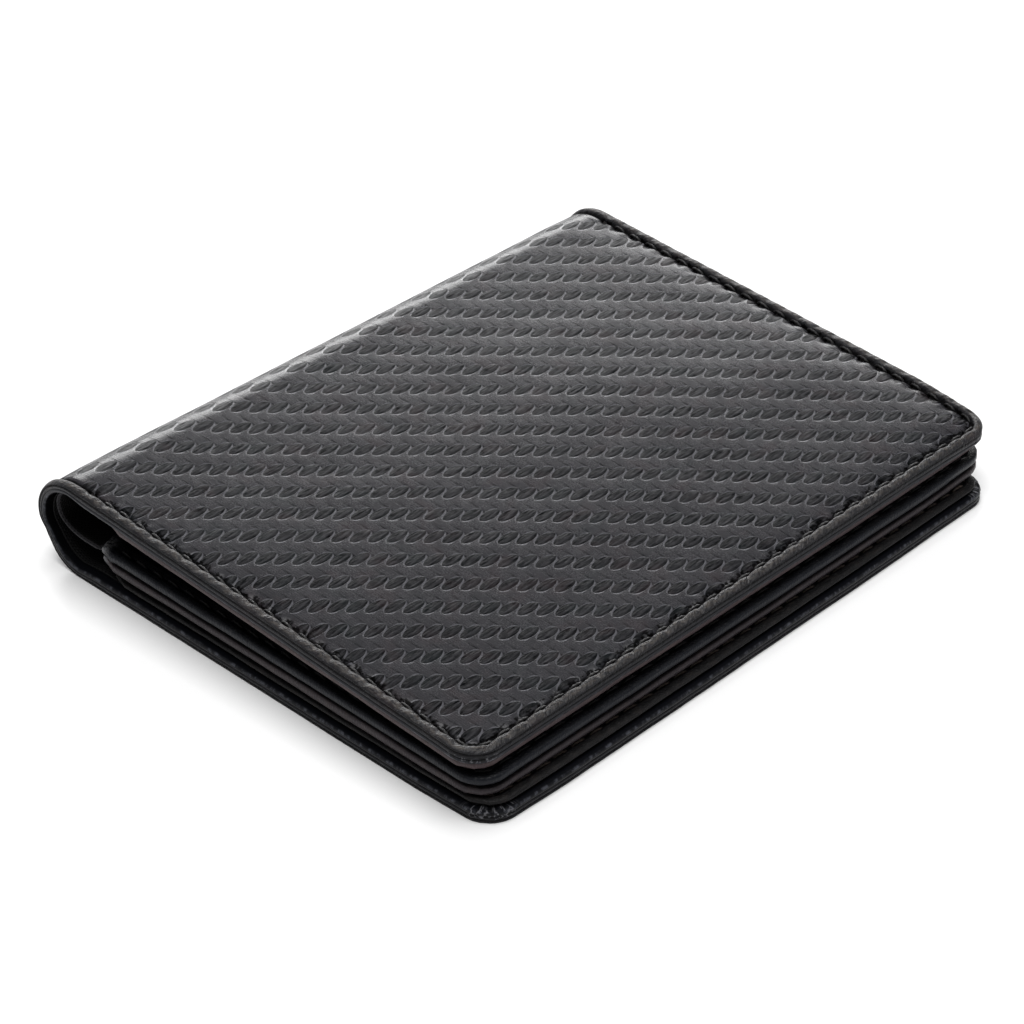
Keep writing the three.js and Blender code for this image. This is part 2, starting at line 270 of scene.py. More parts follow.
class Slab:
    """A closed flat body on a round-cornered plan: a fine grid on its face, rings
    round its edge, and a grid on its underside. Heights come from functions."""

    def __init__(self, x0, x1, y0, y1, radii, w, step, xs=None, ys=None):
        self.box = (x0, x1, y0, y1)
        self.r = radii
        self.w = w
        a0, a1, b0, b1 = x0 + w, x1 - w, y0 + w, y1 - w
        xs = axis_points(a0, a1, step) if xs is None else xs
        ys = axis_points(b0, b1, step) if ys is None else ys
        self.nx, self.ny = len(xs), len(ys)
        X, Y = np.meshgrid(xs, ys, indexing="ij")
        X0, Y0 = X.copy(), Y.copy()
        NX, NY = np.zeros_like(X), np.zeros_like(Y)
        NX[0, :], NX[-1, :] = -1, 1
        NY[:, 0], NY[:, -1] = -1, 1
        corners = [(a0, b0, -1, -1), (a1, b0, 1, -1), (a1, b1, 1, 1), (a0, b1, -1, 1)]
        for (cx, cy, sx, sy), R in zip(corners, radii):
            r = max(R - w, 0.02)
            qx, qy = cx - sx * r, cy - sy * r
            a, b = (X0 - qx) * sx / r, (Y0 - qy) * sy / r
            m = (a > -1e-9) & (b > -1e-9)
            a, b = np.clip(a, 0, 1), np.clip(b, 0, 1)
            an, bn = a * np.sqrt(1 - b * b / 2), b * np.sqrt(1 - a * a / 2)
            X[m], Y[m] = (qx + sx * r * an)[m], (qy + sy * r * bn)[m]
            NX[m], NY[m] = (sx * an)[m], (sy * bn)[m]
        self.X, self.Y = X, Y
        n, m_ = self.nx, self.ny
        idx = np.arange(n * m_).reshape(n, m_)
        self.loop = np.concatenate([idx[:-1, 0], idx[-1, :-1], idx[:0:-1, -1], idx[0, :0:-1]])
        bx, by = X.ravel()[self.loop], Y.ravel()[self.loop]
        nx, ny = NX.ravel()[self.loop], NY.ravel()[self.loop]
        ln = np.hypot(nx, ny)
        self.bx, self.by, self.bnx, self.bny = bx, by, nx / ln, ny / ln

    def dist(self, X, Y, lead=0.0):
        """Signed distance to the outline, negative inside."""
        x0, x1, y0, y1 = self.box
        cx, cy, hx, hy = (x0 + x1) / 2, (y0 + y1) / 2, (x1 - x0) / 2, (y1 - y0) / 2
        sx, sy = X >= cx, Y >= cy
        r = np.where(sx, np.where(sy, self.r[2], self.r[1]), np.where(sy, self.r[3], self.r[0]))
        px, py = np.abs(X - cx) - hx + r, np.abs(Y - cy) - hy + r
        return np.minimum(np.maximum(px, py), 0) + np.hypot(np.maximum(px, 0), np.maximum(py, 0)) - r

    def build(self, top, rings, bottom, perimeter=None):
        """top(X, Y, D, Q) and bottom(X, Y) give heights. rings is a list of
        (d, z) where z is a number, or a function of (X, Y, D, Q), and d may be
        a number or a function of Q. Returns U, V, H, D, Q and the quads."""
        n, m = self.nx, self.ny
        perimeter = perimeter or (lambda x, y, nx, ny: np.zeros_like(x))
        D = self.dist(self.X, self.Y)
        # the perimeter coordinate of an inside point is that of the edge beside it
        x0, x1, y0, y1 = self.box
        ex, ey = self._edge_point(self.X, self.Y)
        Q = perimeter(*ex, *ey)
        U, V, H, DD, QQ = [self.X.ravel()], [self.Y.ravel()], [top(self.X, self.Y, D, Q).ravel()], [D.ravel()], [Q.ravel()]
        qb = perimeter(self.bx, self.by, self.bnx, self.bny)
        loops = [self.loop]
        base = n * m
        nb = len(self.loop)
        for d, z in rings:
            dd = d(qb) if callable(d) else np.full(nb, float(d))
            x, y = self.bx + self.bnx * (dd + self.w), self.by + self.bny * (dd + self.w)
            U.append(x); V.append(y); DD.append(dd); QQ.append(qb)
            H.append(z(x, y, dd, qb) if callable(z) else np.full(nb, float(z)))
            loops.append(np.arange(base, base + nb))
            base += nb
        U.append(self.X.ravel()); V.append(self.Y.ravel())
        H.append(np.broadcast_to(bottom(self.X, self.Y), self.X.shape).ravel())
        DD.append(D.ravel()); QQ.append(Q.ravel())
        loops.append(self.loop + base)
        idx = np.arange(n * m).reshape(n, m)
        g = np.stack([idx[:-1, :-1], idx[1:, :-1], idx[1:, 1:], idx[:-1, 1:]], -1).reshape(-1, 4)
        quads = [g, g[:, ::-1] + base]
        for a, b in zip(loops[:-1], loops[1:]):
            quads.append(np.stack([a, b, np.roll(b, -1), np.roll(a, -1)], -1))
        cat = np.concatenate
        return cat(U), cat(V), cat(H), cat(DD), cat(QQ), cat(quads)

    def _edge_point(self, X, Y):
        x0, x1, y0, y1 = self.box
        w = self.w
        cx, cy = (x0 + x1) / 2, (y0 + y1) / 2
        hx, hy = (x1 - x0) / 2, (y1 - y0) / 2
        sx, sy = np.where(X >= cx, 1.0, -1.0), np.where(Y >= cy, 1.0, -1.0)
        r = np.where(sx > 0, np.where(sy > 0, self.r[2], self.r[1]), np.where(sy > 0, self.r[3], self.r[0]))
        px, py = np.abs(X - cx) - hx + r, np.abs(Y - cy) - hy + r
        corner = (px > 0) & (py > 0)
        ln = np.maximum(np.hypot(px, py), 1e-9)
        side = px > py
        nx = np.where(corner, px / ln, np.where(side, 1.0, 0.0)) * sx
        ny = np.where(corner, py / ln, np.where(side, 0.0, 1.0)) * sy
        # point on the inset outline
        ix = np.where(corner, cx + sx * (hx - r) + nx * (r - w), np.where(side, cx + sx * (hx - w), X))
        iy = np.where(corner, cy + sy * (hy - r) + ny * (r - w), np.where(side, Y, cy + sy * (hy - w)))
        return (ix, iy), (nx, ny)


def outline_path(x0, x1, y0, y1, r, d, sides, step=0.1):
    """Points and outward normals along the outline offset by d (negative is inside),
    over the given sides in order: 'n' near (y0), 'f' fore (x1), 'b' far (y1), 's' spine side (x0)."""
    X0, X1, Y0, Y1 = x0 - d, x1 + d, y0 - d, y1 + d
    R = [max(q + d, 0.05) for q in r]
    segs = {
        "n": ((X0 + R[0], Y0), (X1 - R[1], Y0), (0, -1)),
        "f": ((X1, Y0 + R[1]), (X1, Y1 - R[2]), (1, 0)),
        "b": ((X1 - R[2], Y1), (X0 + R[3], Y1), (0, 1)),
        "s": ((X0, Y1 - R[3]), (X0, Y0 + R[0]), (-1, 0)),
    }
    cc = {"nf": (X1 - R[1], Y0 + R[1], R[1], -90), "fb": (X1 - R[2], Y1 - R[2], R[2], 0), "bs": (X0 + R[3], Y1 - R[3], R[3], 90), "sn": (X0 + R[0], Y0 + R[0], R[0], 180)}
    P, N = [], []
    for i, s in enumerate(sides):
        (ax, ay), (bx, by), n = segs[s]
        k = max(2, int(math.hypot(bx - ax, by - ay) / step))
        t = np.linspace(0, 1, k)[:, None]
        P.append(np.array([[ax, ay]]) * (1 - t) + np.array([[bx, by]]) * t)
        N.append(np.repeat([n], k, 0).astype(float))
        if i + 1 < len(sides) and s + sides[i + 1] in cc:
            cx, cy, rr, a0 = cc[s + sides[i + 1]]
            k = max(3, int(rr * math.pi / 2 / step))
            a = np.radians(a0 + np.linspace(0, 90, k + 2)[1:-1])
            P.append(np.stack([cx + rr * np.cos(a), cy + rr * np.sin(a)], 1))
            N.append(np.stack([np.cos(a), np.sin(a)], 1))
    P, N = np.concatenate(P), np.concatenate(N)
    s = np.concatenate([[0], np.cumsum(np.hypot(*np.diff(P, axis=0).T))])
    return P, N, s


def stitches(P, N, s, place, pitch, length, r, depth, rise, slant=0.0, ends=(0.0, 0.0), seed=3, sides=10, steps=12):
    """One twisted thread stitch after another along a path. place(x, y, z) maps to space."""
    a, b = s[0] + ends[0], s[-1] - ends[1]
    count = max(1, int(round((b - a) / pitch)))
    pitch = (b - a) / count
    V, F = [], []
    rnd = np.random.default_rng(seed)
    base = 0
    for i in range(count):
        jit = rnd.normal(0, 1, 6)
        mid = a + (i + 0.5) * pitch + 0.05 * jit[0]
        L = length * (1 + 0.04 * jit[1])
        t = np.linspace(-1, 1, steps)
        si = np.clip(mid + t * L / 2, s[0], s[-1])
        x, y = np.interp(si, s, P[:, 0]), np.interp(si, s, P[:, 1])
        nx, ny = np.interp(si, s, N[:, 0]), np.interp(si, s, N[:, 1])
        off = slant * t + 0.05 * jit[2]
        lift = depth + rise * (1 - np.abs(t) ** 3.0) + 0.02 * jit[3]
        c = np.stack([x + nx * off, y + ny * off, lift], 1)
        tg = np.gradient(c, axis=0)
        tg /= np.linalg.norm(tg, axis=1, keepdims=True)
        up = np.array([0, 0, 1.0])
        sd = np.cross(tg, up); sd /= np.linalg.norm(sd, axis=1, keepdims=True)
        uu = np.cross(sd, tg)
        th = np.linspace(0, TAU, sides, endpoint=False)
        rad = r * (1 - 0.45 * np.abs(t) ** 6)[:, None] * (1 + 0.2 * np.cos(2 * (th[None, :] - 5.5 * t[:, None] - jit[4])))
        ring = c[:, None, :] + rad[..., None] * (np.cos(th)[None, :, None] * sd[:, None, :] + 0.8 * np.sin(th)[None, :, None] * uu[:, None, :])
        V.append(place(ring[..., 0].ravel(), ring[..., 1].ravel(), ring[..., 2].ravel()))
        for k in range(steps - 1):
            for j in range(sides):
                j2 = (j + 1) % sides
                F.append((base + k * sides + j, base + (k + 1) * sides + j, base + (k + 1) * sides + j2, base + k * sides + j2))
        # close the ends, which are buried in the leather
        for k, rev in ((0, False), (steps - 1, True)):
            q = [base + k * sides + j for j in range(sides)]
            for j in range(1, sides - 1, 2):
                f = (q[0], q[j], q[j + 1], q[(j + 2) % sides] if j + 2 < sides else q[j + 1])
                if len(set(f)) == 4:
                    F.append(f if not rev else f[::-1])
        base += steps * sides
    return np.concatenate(V), np.array(F, np.int32)


# ---------------------------------------------------------------- node helpers
class Net:
    """Builds shader maths from plain expressions."""

    def __init__(self, mat):
        self.t = mat.node_tree

    def node(self, kind, **props):
        n = self.t.nodes.new(kind)
        for k, v in props.items():
            setattr(n, k, v)
        return n

    def put(self, socket, v):
        if isinstance(v, X):
            self.t.links.new(v.s, socket)
        elif isinstance(v, bpy.types.NodeSocket):
            self.t.links.new(v, socket)
        else:
            socket.default_value = v

    def math(self, op, *args, clamp=False):
        n = self.node("ShaderNodeMath", operation=op, use_clamp=clamp)
        for i, a in enumerate(args):
            self.put(n.inputs[i], a)
        return X(self, n.outputs[0])

    def attr(self, name):
        n = self.node("ShaderNodeAttribute", attribute_name=name, attribute_type="GEOMETRY")
        s = self.node("ShaderNodeSeparateXYZ")
        self.t.links.new(n.outputs["Vector"], s.inputs[0])
        return [X(self, s.outputs[i]) for i in range(3)] + [n.outputs["Vector"]]

    def vec(self, x, y, z=0.0):
        n = self.node("ShaderNodeCombineXYZ")
        for i, a in enumerate((x, y, z)):
            self.put(n.inputs[i], a)
        return n.outputs[0]

    def noise(self, vec, scale, detail=3.0, rough=0.55, distortion=0.0):
        n = self.node("ShaderNodeTexNoise")
        self.put(n.inputs["Vector"], vec)
        n.inputs["Scale"].default_value = scale
        n.inputs["Detail"].default_value = detail
        n.inputs["Roughness"].default_value = rough
        n.inputs["Distortion"].default_value = distortion
        return X(self, n.outputs["Fac"])

    def voronoi(self, vec, scale, feature="F1", rand=1.0):
        n = self.node("ShaderNodeTexVoronoi", feature=feature)
        self.put(n.inputs["Vector"], vec)
        n.inputs["Scale"].default_value = scale
        n.inputs["Randomness"].default_value = rand
        return X(self, n.outputs["Distance"])

    def step(self, x, a, b):
        n = self.node("ShaderNodeMapRange", interpolation_type="SMOOTHSTEP")
        self.put(n.inputs["Value"], x)
        n.inputs["From Min"].default_value = a
        n.inputs["From Max"].default_value = b
        return X(self, n.outputs[0])

    def mix(self, f, a, b):
        n = self.node("ShaderNodeMix", data_type="RGBA")
        self.put(n.inputs[0], f)
        self.put(n.inputs[6], a)
        self.put(n.inputs[7], b)
        return n.outputs[2]

    def lerp(self, f, a, b):
        return a + (b - a) * f if isinstance(b, X) or isinstance(a, X) else f * (b - a) + a

    def bump(self, height, dist=0.001, strength=1.0, normal=None):
        n = self.node("ShaderNodeBump")
        n.inputs["Strength"].default_value = strength
        n.inputs["Distance"].default_value = dist
        self.put(n.inputs["Height"], height)
        if normal is not None:
            self.t.links.new(normal, n.inputs["Normal"])
        return n.outputs[0]


class X:
    def __init__(self, net, s):
        self.n, self.s = net, s

    def __add__(self, o): return self.n.math("ADD", self, o)
    __radd__ = __add__
    def __mul__(self, o): return self.n.math("MULTIPLY", self, o)
    __rmul__ = __mul__
    def __sub__(self, o): return self.n.math("SUBTRACT", self, o)
    def __rsub__(self, o): return self.n.math("SUBTRACT", o, self)
    def __truediv__(self, o): return self.n.math("DIVIDE", self, o)
    def __neg__(self): return self.n.math("MULTIPLY", self, -1.0)
    def floor(self): return self.n.math("FLOOR", self)
    def cos(self): return self.n.math("COSINE", self)
    def sin(self): return self.n.math("SINE", self)
    def abs(self): return self.n.math("ABSOLUTE", self)
    def sq(self): return self.n.math("MULTIPLY", self, self)
    def max(self, o): return self.n.math("MAXIMUM", self, o)
    def min(self, o): return self.n.math("MINIMUM", self, o)
    def pow(self, o): return self.n.math("POWER", self, o)


def lin(r, g, b):
    """sRGB 0..255 to linear."""
    f = lambda c: (c / 255 / 12.92) if c <= 10 else ((c / 255 + 0.055) / 1.055) ** 2.4
    return (f(r), f(g), f(b), 1.0)


def material(name):
    m = bpy.data.materials.new(name)
    m.use_nodes = True
    m.node_tree.nodes.clear()
    net = Net(m)
    out = net.node("ShaderNodeOutputMaterial")
    b = net.node("ShaderNodeBsdfPrincipled")
    m.node_tree.links.new(b.outputs[0], out.inputs[0])
    return m, net, b


def embossed_leather():
    """Black coated leather with a woven emboss. lat = (unrolled u, v, distance to the
    edge), rim = (perimeter, stitch phase, 1 where stitched)."""
    m, k, b = material("embossed_leather")
    u, v, d, vec = k.attr("lat")
    q, ph, st, _ = k.attr("rim")
    hg, cw, _, _ = k.attr("hgt")
    x, y = (u - TWU - v * TWS) / TP, (v - TWV) / TPV
    a, c = x.floor(), y.floor()
    e = k.math("FLOORED_MODULO", y - a + 2.0, 4.0) - 2.0       # along a spine-wise float
    xi = x - a - 0.5
    w = (1.0 - (e / LENS_L).sq()).max(0.0).pow(LENS_P) * LENS_W
    lensd = w - xi.abs() - (e.abs() - LENS_L).max(0.0)     # inside the oval, in yarns
    lens = k.step(lensd, -0.012, 0.022)
    sd = xi / w.max(0.02)                                  # -1..1 across the oval
    f = k.math("FLOORED_MODULO", x - c - 1.0, 4.0) - 2.0       # along a cross-wise float
    yi = y - c - 0.5
    inside = k.step(d * -1.0, 1.7, 2.7)                    # weave fades out at the turned edge
    big = k.noise(vec, 0.030, 2.0)
    mid = k.noise(vec, 0.33, 3.0)
    fine = k.noise(vec, 3.2, 3.0, 0.6)
    hue = k.noise(vec, 0.16, 2.0)
    cell = k.math("FLOORED_MODULO", (a * 12.9898 + ((y - a + 2.0) / 4.0).floor() * 78.233).sin() * 43758.5, 1.0)
    cell2 = k.math("FLOORED_MODULO", (c * 39.346 + ((x - c - 1.0) / 4.0).floor() * 11.135).sin() * 24634.6, 1.0)
    # an oval: dark, with a painted highlight as a soft streak along its middle and painted shade darkest inside the rim
    oval_streak_highlight = 1.0 - k.step((sd - 0.22 + e * 0.16).abs(), 0.04, 0.42)
    oval_rim_shade = 1.0 - k.step(lensd, 0.02, 0.13)
    hair = k.noise(k.vec(u * 3.4, v * 0.55, a * 3.7), 1.0, 3.0, 0.6)
    tl = 0.12 + oval_streak_highlight * (hair * 0.70 + 0.04) + (hair - 0.5) * 0.85 - oval_rim_shade * 0.12 + (cell - 0.5) * 0.14
    # the cross yarns: lighter, with painted shade in the dark score between neighbours at the low end
    score_groove_shade = 1.0 - k.step(yi.abs() * -1.0 + 0.5, 0.02, 0.12)
    score_groove_shade = score_groove_shade * k.step(f, -0.95, 0.45) * (1.0 - lens)
    tf = 0.68 - score_groove_shade * 0.50 - k.step(f, 0.6, 1.5) * 0.10 + (cell2 - 0.5) * 0.12 + (mid - 0.5) * 0.16
    # painted highlight: a pale outline round each oval, brightest along its fore side
    gapd = lensd * -1.0
    outline = k.step(gapd, -0.03, 0.03) * (1.0 - k.step(gapd, 0.09, 0.20))
    side = k.step(xi, -0.15, 0.35)
    oval_outline_highlight = outline * (side * 0.15 + 0.85) * k.step(e.abs(), LENS_L + 0.12, LENS_L - 0.15)
    t = k.lerp(lens, tf, tl) + (fine - 0.5) * 0.10
    relief = k.lerp(lens, (k.step(gapd, 0.0, 0.16) * 0.16 - score_groove_shade * 0.08), (1.0 - sd.sq()).max(0.0) * 0.10 - 0.03)
    t = k.lerp(inside, (mid - 0.5) * 0.5 + (fine - 0.5) * 0.4 + 0.42, t)
    col = k.mix(t.min(1.0).max(0.0).s, DARK, LIGHT)
    # lay the outlines' painted highlight over the weave
    col = k.mix((oval_outline_highlight * inside * 0.58).s, col, OUTLINE_HIGHLIGHT)
    # warm and cool drift over the cover, as on worn coated leather
    col = k.mix((k.step(hue, 0.52, 0.72) * 0.22).s, col, (0.034, 0.020, 0.022, 1))
    col = k.mix((k.step(hue, 0.46, 0.28) * 0.16).s, col, (0.010, 0.018, 0.019, 1))
    # painted shade in the seam's crease and needle holes, with dark blots along it
    rag = k.noise(k.vec(q * 1.1, d * 1.1, 0.0), 1.0, 3.0, 0.6)
    seam_crease_shade = k.step((d + 2.02 + (rag - 0.5) * 0.5).abs(), 0.52, 0.16)
    hole = k.step((ph - 0.5 + (rag - 0.5) * 0.40).abs(), 0.27, 0.37) * st
    rag2 = k.noise(k.vec(q * 0.8, d * 1.4, 11.0), 1.0, 3.0, 0.65)
    seam_blot_shade = k.step((d + 2.40 + (rag - 0.5) * 1.9).abs(), 0.80, 0.50) * (hole * k.step(k.noise(k.vec(q * 0.42, 0.0, 7.0), 1.0, 2.0), 0.36, 0.50)).max(k.step(rag2, 0.50, 0.58) * st)
    dark = (seam_crease_shade * (hole * 0.2 + 0.8) + seam_blot_shade * 0.9).min(1.0)
    col = k.mix(dark.s, col, (0.0012, 0.0011, 0.0011, 1))
    # side of the turned edge: painted shade in a dark line under the roll, then a ridge, a second dark line, and over
    # the hem below
    side_ = k.step(d, 0.10, 0.25)
    side_shade_lines = k.step((hg + 0.40 + (mid - 0.5) * 0.3).abs(), 0.14, 0.05).max(k.step((hg + 1.18 + (mid - 0.5) * 0.3).abs(), 0.12, 0.03) * 0.8)
    side_shade_lines = side_shade_lines.max(k.step(hg, -1.95, -2.10)) * side_
    col = k.mix((side_ * (1.0 - side_shade_lines) * 0.45).s, col, SIDE)
    col = k.mix((side_shade_lines * 0.9).s, col, (0.0014, 0.0014, 0.0016, 1))
    # painted highlights on the pleats at the corners of the turned edge's side
    pleat_highlight = k.step(k.noise(k.vec(q * 2.6, hg * 1.5, d * 0.5), 1.0, 3.0, 0.65), 0.52, 0.62) * cw * side_ * k.step(hg, -0.50, -0.80)
    pl = k.noise(k.vec(q * 2.6, hg * 0.6, 5.0), 1.0, 3.0, 0.6)
    # painted shade in the folds between those pleats
    under = cw * side_ * k.step(hg, -0.42, -0.62)
    pleat_shade = k.step(pl, 0.50, 0.42) * under
    # pale patches along the hem's fold: partly wear, partly painted highlight
    wear_and_highlight = k.step(k.noise(k.vec(q * 0.75, hg * 0.5, 3.0), 1.0, 4.0, 0.65), 0.46, 0.62) * k.step((hg + 1.82).abs(), 0.30, 0.08) * side_
    # painted shade: the sides low on the back cover and spine, which face the table, darkened
    low = k.step(d, 0.10, 0.25) * k.step(u, U1 + 12.0, U1 - 1.0)
    col = k.mix((low * 0.72).s, col, (0.0030, 0.0034, 0.0050, 1))
    # the corner pleats' painted shade and painted highlights
    col = k.mix((pleat_shade * 0.85).s, col, (0.0016, 0.0016, 0.0018, 1))
    col = k.mix((pleat_highlight * 0.85).s, col, lin(106, 106, 110))
    # wear and painted highlight along the hem's fold
    col = k.mix((wear_and_highlight * 0.55).s, col, lin(88, 90, 98))
    # rubbed, browner crown of the turned edge
    crown = k.step((d + 0.85).abs(), 0.85, 0.15) * k.step(k.noise(k.vec(q * 0.9, d * 2.5, 0.0), 1.0, 3.0), 0.40, 0.62)
    col = k.mix((crown * 0.62).s, col, CROWN)
    k.put(b.inputs["Base Color"], col)
    r = ROUGH + (fine - 0.5) * 0.07 + (mid - 0.5) * 0.08 + lens * inside * 0.06 + (1.0 - inside) * 0.06 + crown * 0.08 + dark * 0.3
    k.put(b.inputs["Roughness"], r.s)
    sp = (1.0 - lens * inside * (0.74 - (hair - 0.5) * 1.3 - oval_streak_highlight * 0.14) - score_groove_shade * inside * 0.45 + oval_outline_highlight * inside * (0.18 + (1.0 - side) * 0.62)) * SPEC * (1.0 - dark * 0.95) * (1.0 - side_ * 0.50) * (1.0 - side_shade_lines * 0.8)
    k.put(b.inputs["Specular IOR Level"], sp.s)
    lf = (yi * (2 * math.pi * 5.0)).sin() * (1.0 - lens) * 0.003
    h = (lf + (hair - 0.5) * lens * 0.05) * inside + relief * inside * 0.10
    folds = k.noise(k.vec(q * 1.5 + d * 1.2, d * 0.5, 0.0), 1.0, 3.0, 0.6)
    grain = k.voronoi(vec, 3.4) * 0.030 + (fine - 0.5) * 0.06 + (k.noise(vec, 9.0, 2.0) - 0.5) * 0.014
    h = h + grain * (1.25 - inside * 1.0 - side_ * 0.8) + (folds - 0.5) * (1.0 - inside) * (1.0 - side_ * 0.85) * 0.34
    n = k.bump(h.s, 0.001, 1.0)
    k.put(b.inputs["Normal"], n)
    return m


def smooth_leather(name, dark, light, rough=0.43, grain_scale=2.2, grain=1.0, edge=True, brown=0.0, frayed=False):
    """Plain coated leather. lat = (x, y, distance to the edge) in mm."""
    m, k, b = material(name)
    u, v, d, vec = k.attr("lat")
    big = k.noise(vec, 0.06, 2.0)
    mid = k.noise(vec, 0.5, 3.0)
    fine = k.noise(vec, 4.0, 3.0, 0.6)
    stretch = k.noise(k.vec(u * 0.35, v * 0.35, d * 2.6), 1.3, 3.0)
    t = 0.45 + (big - 0.5) * 0.5 + (mid - 0.5) * 0.35 + (stretch - 0.5) * 0.35
    # painted highlight: lighter along the rounded edge, a little darker inside it
    if edge:
        t = t + k.step(d, -0.55, 0.0) * 0.34 - k.step(d, -0.15, -0.9) * 0.30
    col = k.mix(t.min(1.0).max(0.0).s, dark, light)
    if frayed:   # rubbed pale where the near end of the fold was crushed
        fr = k.step(u, 3.2, 0.6) * k.step(v, -54.5, -57.0) * k.step(k.noise(vec, 1.6, 3.0, 0.65), 0.40, 0.52)
        col = k.mix((fr * 0.9).s, col, lin(150, 150, 152))
    if brown:
        col = k.mix((k.step(mid, 0.5, 0.68) * brown).s, col, (0.085, 0.062, 0.050, 1))
    k.put(b.inputs["Base Color"], col)
    r = rough + (fine - 0.5) * 0.20 + (mid - 0.5) * 0.14
    k.put(b.inputs["Roughness"], r.s)
    b.inputs["Specular IOR Level"].default_value = SPEC * 0.7
    vor = k.voronoi(vec, grain_scale, "DISTANCE_TO_EDGE")
    pore = k.step(vor, 0.0, 0.16)
    h = (pore * 0.045 + (fine - 0.5) * 0.05 + (mid - 0.5) * 0.06) * grain
    if edge:  # heat-pressed line along the edge
        h = h - k.step((d + 3.0).abs(), 0.28, 0.06) * 0.06
    k.put(b.inputs["Normal"], k.bump(h.s, 0.001, 0.8))
    return m


def cloth(name, dark, light, pitch=0.42, rim=None):
    """Woven lining. lat = (x, y, d) in mm."""
    m, k, b = material(name)
    u, v, d, vec = k.attr("lat")
    a, c = (u / pitch), (v / pitch)
    wa = (a * math.pi).sin().abs()
    wc = (c * math.pi).sin().abs()
    par = ((a.floor() + c.floor()) * math.pi).cos() * 0.5 + 0.5
    par = k.step(par, 0.3, 0.7)
    top = k.lerp(par, wa, wc)
    mid = k.noise(vec, 0.7, 3.0)
    fine = k.noise(vec, 6.0, 2.0)
    t = top * 0.55 + (mid - 0.5) * 0.5 + (fine - 0.5) * 0.3 + 0.15
    col = k.mix(t.min(1.0).max(0.0).s, dark, light)
    # rim: a painted highlight, a pale band along the cloth's edge
    if rim:
        col = k.mix((k.step(d, -0.75, -0.25) * 0.9).s, col, rim)
    k.put(b.inputs["Base Color"], col)
    k.put(b.inputs["Roughness"], (0.62 + (mid - 0.5) * 0.2).s)
    b.inputs["Specular IOR Level"].default_value = SPEC * 0.8
    b.inputs["Sheen Weight"].default_value = 0.01
    k.put(b.inputs["Normal"], k.bump((top * 0.10 + (mid - 0.5) * 0.12).s, 0.001, 0.8))
    return m


def thread_mat(name, dark, light):
    m, k, b = material(name)
    u, v, d, vec = k.attr("lat")
    ply = ((u * 2.4 + v * 1.1) * math.pi).sin() * 0.5 + 0.5
    fine = k.noise(vec, 5.0, 3.0)
    col = k.mix((ply * 0.5 + fine * 0.5).s, dark, light)
    k.put(b.inputs["Base Color"], col)
    k.put(b.inputs["Roughness"], (0.42 + (fine - 0.5) * 0.3).s)
    b.inputs["Specular IOR Level"].default_value = SPEC
    b.inputs["Sheen Weight"].default_value = 0.01
    k.put(b.inputs["Normal"], k.bump((ply * 0.05 + fine * 0.04).s, 0.001, 0.7))
    return m


def board_mat():
    m, k, b = material("board")
    tc = k.node("ShaderNodeTexCoord")
    n1 = k.noise(tc.outputs["Object"], 900.0, 4.0)
    n2 = k.noise(tc.outputs["Object"], 160.0, 3.0)
    col = k.mix((n1 * 0.6 + n2 * 0.4).s, (0.20, 0.17, 0.13, 1), (0.34, 0.30, 0.24, 1))
    k.put(b.inputs["Base Color"], col)
    k.put(b.inputs["Roughness"], (0.85 + (n1 - 0.5) * 0.2).s)
    k.put(b.inputs["Normal"], k.bump((n1 * 0.08).s, 0.001, 0.6))
    return m


def film_mat():
    m, k, b = material("window_film")
    u, v, d, vec = k.attr("lat")
    n1 = k.noise(vec, 0.25, 2.0)
    n2 = k.noise(vec, 3.0, 3.0)
    col = k.mix(n1.s, (0.80, 0.84, 0.86, 1), (0.92, 0.94, 0.95, 1))
    k.put(b.inputs["Base Color"], col)
    k.put(b.inputs["Roughness"], (0.10 + (n2 - 0.5) * 0.10 + k.step(n1, 0.45, 0.75) * 0.08).s)
    b.inputs["Transmission Weight"].default_value = 0.9
    b.inputs["IOR"].default_value = 1.35
    k.put(b.inputs["Normal"], k.bump((n1 * 0.35 + n2 * 0.02).s, 0.001, 0.5))
    return m


SPEC = 0.222
ROUGH = 0.27
DARK = lin(4, 5, 7)
LIGHT = lin(47, 46, 50)
# colour of the painted highlight round the ovals
OUTLINE_HIGHLIGHT = lin(86, 86, 92)
CROWN = lin(72, 66, 61)
SIDE = lin(34, 36, 42)
M_OUT = embossed_leather()
M_PANEL = smooth_leather("panel_leather", lin(16, 13, 14), lin(84, 72, 74), rough=0.42, brown=0.22)
M_PANELB = smooth_leather("back_panel_leather", lin(4, 4, 5), lin(24, 23, 24), rough=0.40, brown=0.06)
M_LEAF = smooth_leather("leaf_leather", lin(3, 4, 6), lin(30, 32, 38), rough=0.32, frayed=True)
M_LEAFB = smooth_leather("leaf_lower_leather", lin(8, 7, 8), lin(60, 54, 57), rough=0.34, brown=0.12, frayed=True)
M_TIER = smooth_leather("tier_leather", lin(5, 5, 7), lin(34, 34, 38), rough=0.38)
M_LINING = cloth("lining_cloth", lin(1, 1, 2), lin(5, 5, 6))
# the loop's pale rim is a painted highlight
M_LOOP = cloth("loop_cloth", lin(1, 1, 2), lin(8, 6, 5), pitch=0.36, rim=lin(52, 51, 54))
M_THREAD = thread_mat("thread", lin(4, 4, 4), lin(34, 33, 34))
M_THREADB = thread_mat("thread_worn", lin(14, 11, 10), lin(82, 72, 64))
M_BOARD = board_mat()
M_FILM = film_mat()

# ---------------------------------------------------------------- outer leather
SEAM_D = -1.95
RC = CORNER + SEAM_D
Q_N = UL - CORNER                      # perimeter coordinate at the end of the near side
Q_F0 = Q_N + RC * math.pi / 2
Q_F1 = Q_F0 + 2 * (HALF_H - CORNER)
Q_B = Q_F1 + RC * math.pi / 2


